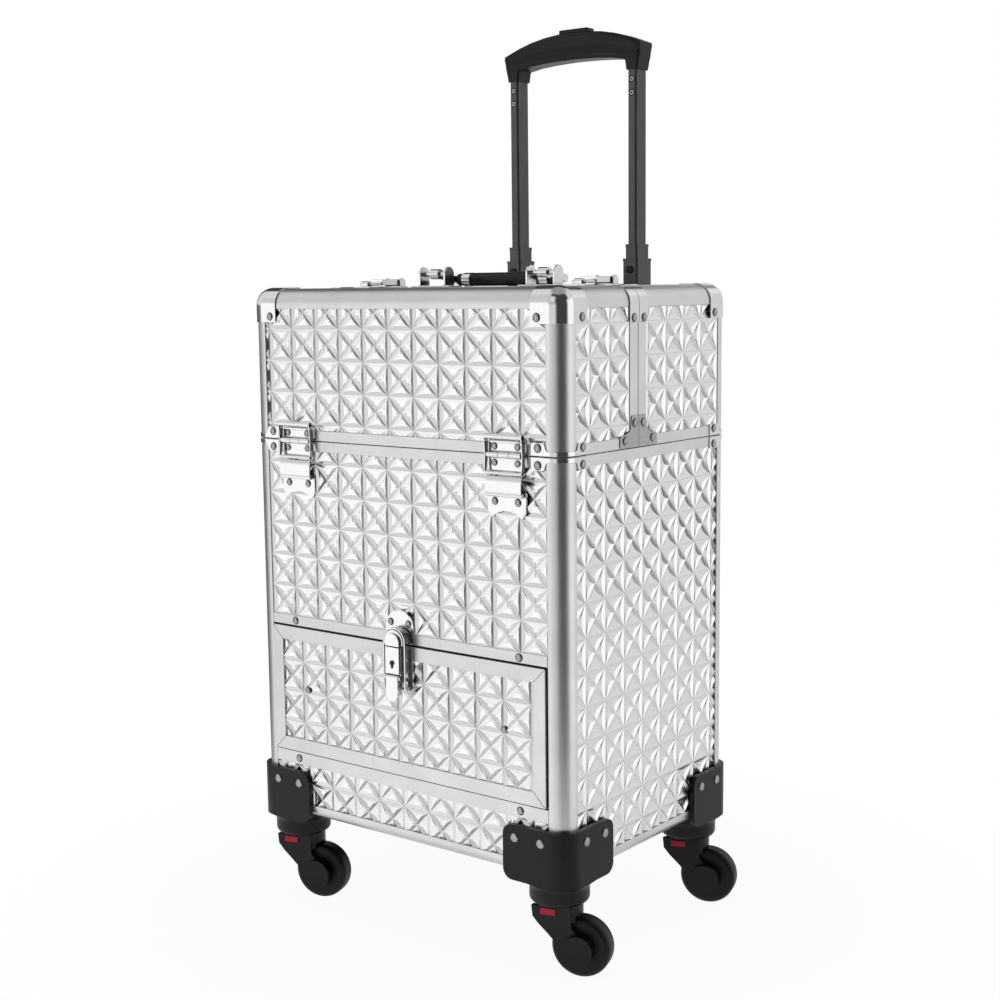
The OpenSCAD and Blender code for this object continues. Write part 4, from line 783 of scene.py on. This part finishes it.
def plates(name, body, corners, splits, replaced=()):
    """All the plates of one body, as two pieces. corners and splits hold what seam_plate and
    split_tab need besides the side."""
    bm = bmesh.new()
    for back, seam_edge, away in corners:
        for side in (-1, 1):
            seam_plate(bm, side, back, seam_edge, away)
    pressed(name, bm, body, NICKEL, replaced, 0.2)
    bm = bmesh.new()
    for side in (-1, 1):
        for edge_y, away in splits:
            split_tab(bm, side, edge_y, away)
    pressed(name + "_split", bm, body, ZINC, (), 0.2)


plates("seam_plates", "case",
       ((False, BELOW_SEAM_Z, -1), (True, BELOW_SEAM_Z, -1), (True, ABOVE_SEAM_Z, 1)),
       ((REAR_Y, 1),), ["corner_plates"])
plates("lid_seam_plates", "front_top", ((False, ABOVE_SEAM_Z, 1),), ((SPLIT_Y, -1),))

HOUSING_TOP_Z = GROUND_Z + 60.0
HOUSING_OUT = 2.0


def rivet_heads(node, body):
    """Domed heads where the CAD's rivets stand, each turned to the wall it stands on. Those on
    the castor housings, which lie outside the case's walls, are larger."""
    source = cad_mesh(node)
    bm = bmesh.new()
    for part in loose_parts(source):
        spans = [(min(v.co[i] for v in part), max(v.co[i] for v in part)) for i in range(3)]
        axis = min(range(3), key=lambda i: spans[i][1] - spans[i][0])
        middle = Vector([(lo + hi) / 2 for lo, hi in spans])
        centre = (0.0, CASE_D / 2, 0.0)[axis]
        sign = 1 if middle[axis] > centre else -1
        radius = max(hi - lo for i, (lo, hi) in enumerate(spans) if i != axis) / 2
        foot = middle.copy()
        top = spans[axis][1] if sign > 0 else spans[axis][0]
        rise = min(1.5, spans[axis][1] - spans[axis][0])
        foot[axis] = top - sign * rise
        way = [0.0, 0.0, 0.0]
        way[axis] = sign
        wall = (CASE_HW, CASE_D / 2, TOP_Z)[axis]
        on_housing = foot.z < HOUSING_TOP_Z and abs(middle[axis] - centre) > wall + HOUSING_OUT
        dome(bm, foot, way, radius * (1.4 if on_housing else 1.18), rise + 0.25)
    source.free()
    finish_piece(node + "_domed", bm, body, [RIVET_STEEL, PAINTED_SHADE], [node], smooth=50)


rivet_heads("base_rivets", "case")
rivet_heads("front_rivets", "front_top")

# two more heads on the drawer's board, over the screws that hold its box
DRAWER_HEAD_X = 110.3
DRAWER_HEAD_Z = 202.8
drawer_heads = bmesh.new()
for x in (-DRAWER_HEAD_X, DRAWER_HEAD_X):
    dome(drawer_heads, (x, PANEL_LO[1] - RIDGE + 0.4, DRAWER_HEAD_Z), (0, -1, 0), 3.0, 1.7)
finish_piece("drawer_rivets_domed", drawer_heads, "drawer", [RIVET_STEEL, PAINTED_SHADE], smooth=50)

# ------------------------------ front hinges and draw latches

LATCH_LO, LATCH_HI = box_mm("latch_frame_right")
LEVER_LO, LEVER_HI = box_mm("latch_lever_right")
LATCH_X = (LATCH_LO[0] + LATCH_HI[0]) / 2
LATCH_HALF = (LATCH_HI[0] - LATCH_LO[0]) / 2
ROLL_R = 2.2
ROLL_Z = LATCH_HI[2] - ROLL_R
HINGE_Z = (SEAM_Z + UPPER_Z) / 2
HINGE_Y = -3.2
HINGE_HALF = 17.0
KNUCKLE_R = 2.6
PIN_R = 1.2
KNUCKLE_X = 5.6  # where the case's knuckle ends and the lid's two begin
LEAF_T = 1.3
LEAF_GAP = 2.2
BAIL_Z = LATCH_LO[2] + 0.3
BASE_HALF = 19.2
BASE_TOP_Z = HINGE_Z - 29.0
BASE_FOOT_Z = HINGE_Z - 50.5


def upright(half, low, high):
    """The outline of a rectangle from its half width and its lower and upper edge."""
    return [(-half, low), (half, low), (half, high), (-half, high)]


def mirrored_outline(half):
    """An outline from its right half, given from the middle outwards."""
    return [(-corner[0], *corner[1:]) for corner in reversed(half)] + half


# the base plate under a lever: its lower edge is arched between two riveted feet
base_plate = rounded(mirrored_outline([
    (4, BASE_FOOT_Z + 5.5, 4), (10, BASE_FOOT_Z + 3.5, 3), (15.5, BASE_FOOT_Z, 1.5),
    (BASE_HALF, BASE_FOOT_Z + 6, 3), (BASE_HALF, BASE_TOP_Z)]), 1)
upper_leaf = rounded(upright(HINGE_HALF, HINGE_Z + LEAF_GAP, ROLL_Z - 3), 1.2)
lower_leaf = rounded(upright(HINGE_HALF, HINGE_Z - 13, HINGE_Z - LEAF_GAP), 1.2)
# the lip that the bail's roll pulls on
lip = upright(14, ROLL_Z - 4.6, ROLL_Z - 3.4)
leaves, lower_leaves = bmesh.new(), bmesh.new()
for x in (-LATCH_X, LATCH_X):
    prism(leaves, upper_leaf, front(x), OFF_WALL, LEAF_T)
    prism(lower_leaves, lower_leaf, front(x), OFF_WALL, LEAF_T)
    for start, end in ((-HINGE_HALF, -KNUCKLE_X), (KNUCKLE_X, HINGE_HALF)):
        cross_rod(leaves, x + start, x + end, HINGE_Y, HINGE_Z, KNUCKLE_R, 24)
    cross_rod(lower_leaves, x - KNUCKLE_X + 0.3, x + KNUCKLE_X - 0.3, HINGE_Y, HINGE_Z, KNUCKLE_R, 24)
    cross_rod(lower_leaves, x - HINGE_HALF - 0.3, x + HINGE_HALF + 0.3, HINGE_Y, HINGE_Z, PIN_R, 16)
    prism(leaves, lip, front(x), 0.5, 4.3)
    prism(lower_leaves, base_plate, front(x), -0.6, 1.2)
    cross_rod(lower_leaves, x - BASE_HALF + 1.2, x + BASE_HALF - 1.2, -3.8, BASE_TOP_Z - 2, PIN_R, 16)
pressed("hinge_leaf_pair", leaves, "front_top", NICKEL, ["hinge_leaves"], 0.2)
pressed("latch_plate_pair", lower_leaves, "case", NICKEL, ["latch_plates"], 0.2)

# side views, as (depth, height): a bail's cheek, and the lever with its curled lower lip
cheek = rounded([(-6.0, BAIL_Z, 1), (-5.2, HINGE_Z, 6), (-6.4, ROLL_Z, 1), (-2.6, ROLL_Z + 1, 1.5),
                 (-1.0, ROLL_Z - 4, 2), (-1.2, HINGE_Z - 2, 3), (-4.0, BAIL_Z, 1)], 1)
top, low = LEVER_HI[2], LEVER_LO[2]
curl = [(-3.4, top), (-4.6, top), (-5.7, top - 2.2), (-6.25, top - 6), (-6.4, top - 10),
        (-6.2, low + 3.2), (-5.6, low + 1.2), (-4.5, low + 0.15), (-3.2, low + 0.1), (-2.0, low + 1.0),
        (-1.5, low + 2.4), (-2.4, low + 2.6), (-3.0, low + 1.5), (-4.2, low + 1.2), (-5.0, low + 2.2),
        (-5.3, low + 4), (-5.4, top - 10), (-5.2, top - 6), (-4.6, top - 2.6)]
for side, x in (("left", -LATCH_X), ("right", LATCH_X)):
    bail = bmesh.new()
    cross_rod(bail, x - LATCH_HALF, x + LATCH_HALF, -4.5, ROLL_Z, ROLL_R, 24)
    cross_rod(bail, x - LATCH_HALF, x + LATCH_HALF, -5.2, LATCH_LO[2] + 1.5, 1.4, 16)
    for sign in (-1, 1):
        prism(bail, cheek, lambda u, v, h: (x + sign * h, u, v), LATCH_HALF - 1.1, LATCH_HALF)
    pressed("latch_bail_" + side, bail, "latch_frame_" + side, NICKEL, ["latch_frame_" + side],
            0.25)
    lever = bmesh.new()
    prism(lever, curl, lambda u, v, h: (x + h, u, v), 1 - LATCH_HALF, LATCH_HALF - 1)
    pressed("latch_lever_plate_" + side, lever, "latch_lever_" + side, NICKEL, ["latch_lever_" + side],
            0.2)

# ------------------------------ pull handle, inside and castors

softened("castor_housings", "case", BLACK_ABS, 1.0, 3, fuller=True)
softened("trolley_brackets", "case", BLACK_ABS, 1.0, 2)
for node, body in (("trolley_outer_tubes", "case"), ("trolley_mid", "trolley_mid"),
                   ("trolley_inner", "trolley_inner")):
    softened(node, body, TUBE, 0.25, 2)
softened("trolley_button", "trolley_button", BLACK_ABS, 1.2, 3)

GRIP_LO, GRIP_HI = box_mm("trolley_grip")
GRIP_HW = (GRIP_HI[0] - GRIP_LO[0]) / 2
GRIP_Y = (GRIP_LO[1] + GRIP_HI[1]) / 2
GRIP_HD = (GRIP_HI[1] - GRIP_LO[1]) / 2
TUBE_LO, TUBE_HI = box_mm("trolley_inner")
TUBE_X = TUBE_HI[0] - 4.8  # the middle of a tube
CROWN_DROP = 15.5  # from the middle of the grip's top to its ends

grip = bmesh.new()
# the front half of a section, scooped along its side: shares of half the depth and of the height
scooped = [(-0.86, 0.0), (-0.97, 0.08), (-1.0, 0.2), (-0.88, 0.34), (-0.8, 0.5), (-0.86, 0.68),
           (-1.0, 0.8), (-0.95, 0.9), (-0.8, 0.97), (-0.4, 1.0)]
scooped += [(-across, up) for across, up in reversed(scooped)]
# along the grip: shares of half the width and of the depth, and how high the underside lies
stations = [(-1.0, 0.9, 18.6), (-0.985, 0.95, 15.0), (-0.95, 0.98, 11.4), (-0.88, 0.99, 8.4),
            (-0.78, 1.0, 9.0), (-0.6, 1.0, 11.4), (-0.4, 1.0, 12.6), (-0.2, 1.0, 13.2), (0.0, 1.0, 13.5)]
stations += [(-x, depth, rise) for x, depth, rise in stations[-2::-1]]
sections = []
for x, depth, rise in stations:
    bottom = GRIP_LO[2] + rise
    crown = GRIP_HI[2] - CROWN_DROP * abs(x) ** 2.2
    plain = min(max((abs(x) - 0.7) / 0.2, 0.0), 1.0)  # the scoop runs out towards the ends
    section = []
    for across, up in scooped:
        if 0.3 < up < 0.7:
            across += plain * (math.copysign(1.0, across) - across)
        section.append((x * GRIP_HW, GRIP_Y + depth * GRIP_HD * across, bottom + (crown - bottom) * up))
    sections.append(section)
loft(grip, sections)
# the sockets over the tubes: height, reach towards the middle and towards the end, half depth
SOCKET = ((-0.6, 6.1, 6.1, 9.9), (0.4, 6.2, 6.2, 10.0), (6, 6.8, 7.2, 10.3),
          (12, 8.2, 8.6, 10.4), (17, 10.2, 9.3, 10.2), (20, 10.6, 8.6, 9.6))
for sign in (-1, 1):
    socket = []
    for rise, inward, outward, half in SOCKET:
        ring = rounded([(-inward, -half), (outward, -half), (outward, half), (-inward, half)], 2.2, 3)
        socket.append([(sign * (TUBE_X + u), GRIP_Y + v, GRIP_LO[2] + rise) for u, v in ring])
    loft(grip, socket)
finish_piece("trolley_grip_arch", grip, "trolley_inner", BLACK_ABS, ["trolley_grip"],
             smooth=44)

COLLAR_LO, COLLAR_HI = box_mm("trolley_outer_tubes")
# a screw's black washer, steel head, and a disc of painted shade where its socket is: radius, how far
# out, and material
SCREW_DISCS = ((3.1, 0.06, 0), (2.0, 0.12, 1), (1.1, 0.18, 2))
STOP_BUTTON_R = 3.4
screws, buttons = bmesh.new(), bmesh.new()
for x in (-TUBE_X, TUBE_X):
    for z in (TUBE_HI[2] - 9, TUBE_HI[2] - 21):
        for radius, out, material in SCREW_DISCS:
            rod(screws, (x, TUBE_LO[1] + 0.5, z), (x, TUBE_LO[1] - out, z), radius, 24, material)
    z = COLLAR_HI[2] - 10
    rod(buttons, (x, COLLAR_LO[1] + 0.4, z), (x, COLLAR_LO[1] - 1.2, z), STOP_BUTTON_R, 24)
finish_piece("socket_screws", screws, "trolley_inner", [BLACK_NYLON, RIVET_STEEL, PAINTED_SHADE])
pressed("stop_buttons", buttons, "case", BLACK_NYLON, (), 0.4)
# the carry handle's sleeve is foam under vinyl, stuffed tight
softened("handle_grip", "carry_handle", SOFT_VINYL, 0.8, 3)
softened("drawer_box", "drawer", TRAY_ABS, 0.6, 2)
for tray in ("lower", "upper"):
    softened("tray_" + tray, "tray_" + tray, TRAY_ABS, 0.6, 2)
for node, body in (("tray_arms_front", "tray_arms_front"), ("tray_arms_rear", "tray_arms_rear"),
                   ("tray_brackets", "case"), ("runner_channels", "case")):
    softened(node, body, ZINC, 0.3, 2)
softened("floor_boards", "case", FLOCK, 0.4, 2)

for corner in ("fl", "fr", "rl", "rr"):
    softened("castor_fork_" + corner, "fork_" + corner, BLACK_NYLON, 0.8, 3)
    softened("castor_wheel_" + corner, "wheel_" + corner, TREAD_RUBBER, 0.5, 2)
    softened("castor_button_" + corner, "tab_" + corner, RED_ABS, 0.4, 2)

# ------------------------------ camera, light and floor

CAMERA = Vector((884.8, -992.0, 555.8))
YAW, PITCH, ROLL = math.radians(38.08), math.radians(7.54), math.radians(-0.63)
LENS = 57.82

camera_data = bpy.data.cameras.new("camera")
camera = shown_object("camera", camera_data)
forward = Vector((-math.sin(YAW) * math.cos(PITCH), math.cos(YAW) * math.cos(PITCH), -math.sin(PITCH)))
right = Vector((math.cos(YAW), math.sin(YAW), 0))
up = right.cross(forward)
turned_right = right * math.cos(ROLL) + up * math.sin(ROLL)
turned_up = up * math.cos(ROLL) - right * math.sin(ROLL)
turn = Matrix((turned_right, turned_up, -forward)).transposed().to_4x4()
camera.matrix_world = Matrix.Translation(TO_ROW @ CAMERA) @ turn
camera_data.lens = LENS
camera_data.sensor_width = 36
camera_data.clip_start = 0.02
camera_data.clip_end = 50
bpy.context.scene.camera = camera


SOFTBOX_WATTS = 12


def softbox(name, place, target, width, height):
    """A lamp that lights the case and isn't itself mirrored in it."""
    data = bpy.data.lights.new(name, "AREA")
    data.energy = SOFTBOX_WATTS
    data.shape = "RECTANGLE"
    data.size = width
    data.size_y = height
    light = shown_object(name, data)
    light.visible_glossy = False
    light.location = place
    light.rotation_euler = (Vector(target) - Vector(place)).to_track_quat("-Z", "Y").to_euler()


softbox("key_softbox", (-1.7, -2.0, 1.6), (0, 0, 0.35), 1.6, 1.8)
softbox("side_softbox", (2.6, 0.5, 1.3), (0, 0, 0.35), 1.6, 2.0)
softbox("top_softbox", (0.0, 0.2, 2.8), (0, 0, 0.4), 2.0, 2.0)

world = bpy.data.worlds.new("studio")
bpy.context.scene.world = world
world.use_nodes = True
sky = world.node_tree
sky.nodes.clear()
direction = add(sky, "ShaderNodeTexCoord")
compass = add(sky, "ShaderNodeVectorMath", {"operation": "MULTIPLY"}, {
    0: (direction, "Generated"), 1: (1.0, 1.0, 0.0)})
level_way = add(sky, "ShaderNodeVectorMath", {"operation": "NORMALIZE"}, {0: (compass, 0)})
height = add(sky, "ShaderNodeSeparateXYZ", inputs={"Vector": (direction, "Generated")})


def sine(elevation):
    """Of degrees; past the zenith and the nadir it goes on growing."""
    return math.sin(math.radians(elevation)) if abs(elevation) < 90 else elevation / 90


def patch(bearing, half, low, high, level, soft):
    """A soft-edged screen of light in the surroundings: the compass bearing of its middle, its half
    width, and the elevations of its lower and upper edge, all in degrees, its brightness, and
    half the width of its soft edge."""
    turn = math.radians(bearing)
    facing = add(sky, "ShaderNodeVectorMath", {"operation": "DOT_PRODUCT"}, {
        0: (level_way, 0), 1: (math.cos(turn), math.sin(turn), 0.0)})
    rim, core = math.radians(half + soft), math.radians(max(half - soft, 0))
    across = eased(sky, facing, "Value", math.cos(rim), math.cos(core), 0.0, level)
    above = eased(sky, height, "Z", sine(low - soft), sine(low + soft), 0.0, 1.0)
    below = eased(sky, height, "Z", sine(high - soft), sine(high + soft), 1.0, 0.0)
    return maths(sky, "MULTIPLY", (maths(sky, "MULTIPLY", (across, 0), (above, 0)), 0), (below, 0))


ROOM_LEVEL = 0.055
# as patch takes them
SCREENS = (
    (-128, 17, -22, 10, 1.15, 6), (-90, 18, -22, 8, 0.75, 8), (-98, 20, 12, 45, 0.72, 6),
    (-118, 40, -130, -26, 1.0, 6), (-136, 14, 9, 62, 0.66, 6), (-176, 24, -130, -22, 0.7, 4),
    (-172, 22, 2, 60, 0.74, 3), (-166, 16, -18, 6, 0.08, 6), (21, 22, -26, 26, 1.1, 6),
    (90, 44, -46, 28, 0.7, 6), (50, 40, 26, 60, 0.7, 6), (0, 179, 60, 120, 0.3, 0.5))
total = add(sky, "ShaderNodeValue")
total.outputs[0].default_value = ROOM_LEVEL
for screen in SCREENS:
    total = maths(sky, "ADD", (total, 0), (patch(*screen), 0))
# the camera sees plain white where everything else sees the screens
path = add(sky, "ShaderNodeLightPath")
lit = add(sky, "ShaderNodeBackground", inputs={"Color": WHITE, "Strength": (total, 0)})
shown = add(sky, "ShaderNodeBackground", inputs={"Color": WHITE, "Strength": 1.0})
add(sky, "ShaderNodeOutputWorld", inputs={"Surface": (either(sky, path, "Is Camera Ray", lit, shown), 0)})

FLOOR_HALF = 20.0
floor_mesh = bmesh.new()
bmesh.ops.create_grid(floor_mesh, x_segments=2, y_segments=2, size=FLOOR_HALF)
floor_data = bpy.data.meshes.new("floor")
floor_mesh.to_mesh(floor_data)
floor_mesh.free()
floor = shown_object("floor", floor_data)
paper, paper_tree, paper_surface = new_material("studio_paper", Roughness=0.9)
paper_surface.inputs["Base Color"].default_value = linear("#F4F4F4")
seen = add(paper_tree, "ShaderNodeLightPath")
place = add(paper_tree, "ShaderNodeTexCoord")
reach = add(paper_tree, "ShaderNodeVectorMath", {"operation": "LENGTH"}, {0: (place, "Object")})
# the camera sees a trace of shade under the case, and plain white further off
fade = eased(paper_tree, reach, "Value", 0.2, 0.55, 0.94, 1.0)
strength = maths(paper_tree, "MULTIPLY", (seen, "Is Camera Ray"), (fade, 0))
white = add(paper_tree, "ShaderNodeEmission", inputs={"Color": WHITE, "Strength": 1.0})
looked_at = either(paper_tree, strength, 0, paper_surface, white)
# reflections see the bright sheet around the case, and past it the screens
sides = add(paper_tree, "ShaderNodeSeparateXYZ", inputs={"Vector": (place, "Object")})
glow = eased(paper_tree, sides, "Y", -0.24, -0.14, 1.0, 0.72)
sheet = add(paper_tree, "ShaderNodeEmission", inputs={"Color": WHITE, "Strength": (glow, 0)})
clear = add(paper_tree, "ShaderNodeBsdfTransparent")
edge = eased(paper_tree, reach, "Value", 0.45, 0.75, 0.0, 1.0)
mirrored = either(paper_tree, edge, 0, sheet, clear)
veil = either(paper_tree, seen, "Is Glossy Ray", looked_at, mirrored)
paper_tree.links.new(veil.outputs[0], paper_tree.nodes["Material Output"].inputs["Surface"])
floor_data.materials.append(paper)

bpy.context.scene.view_settings.view_transform = "Standard"
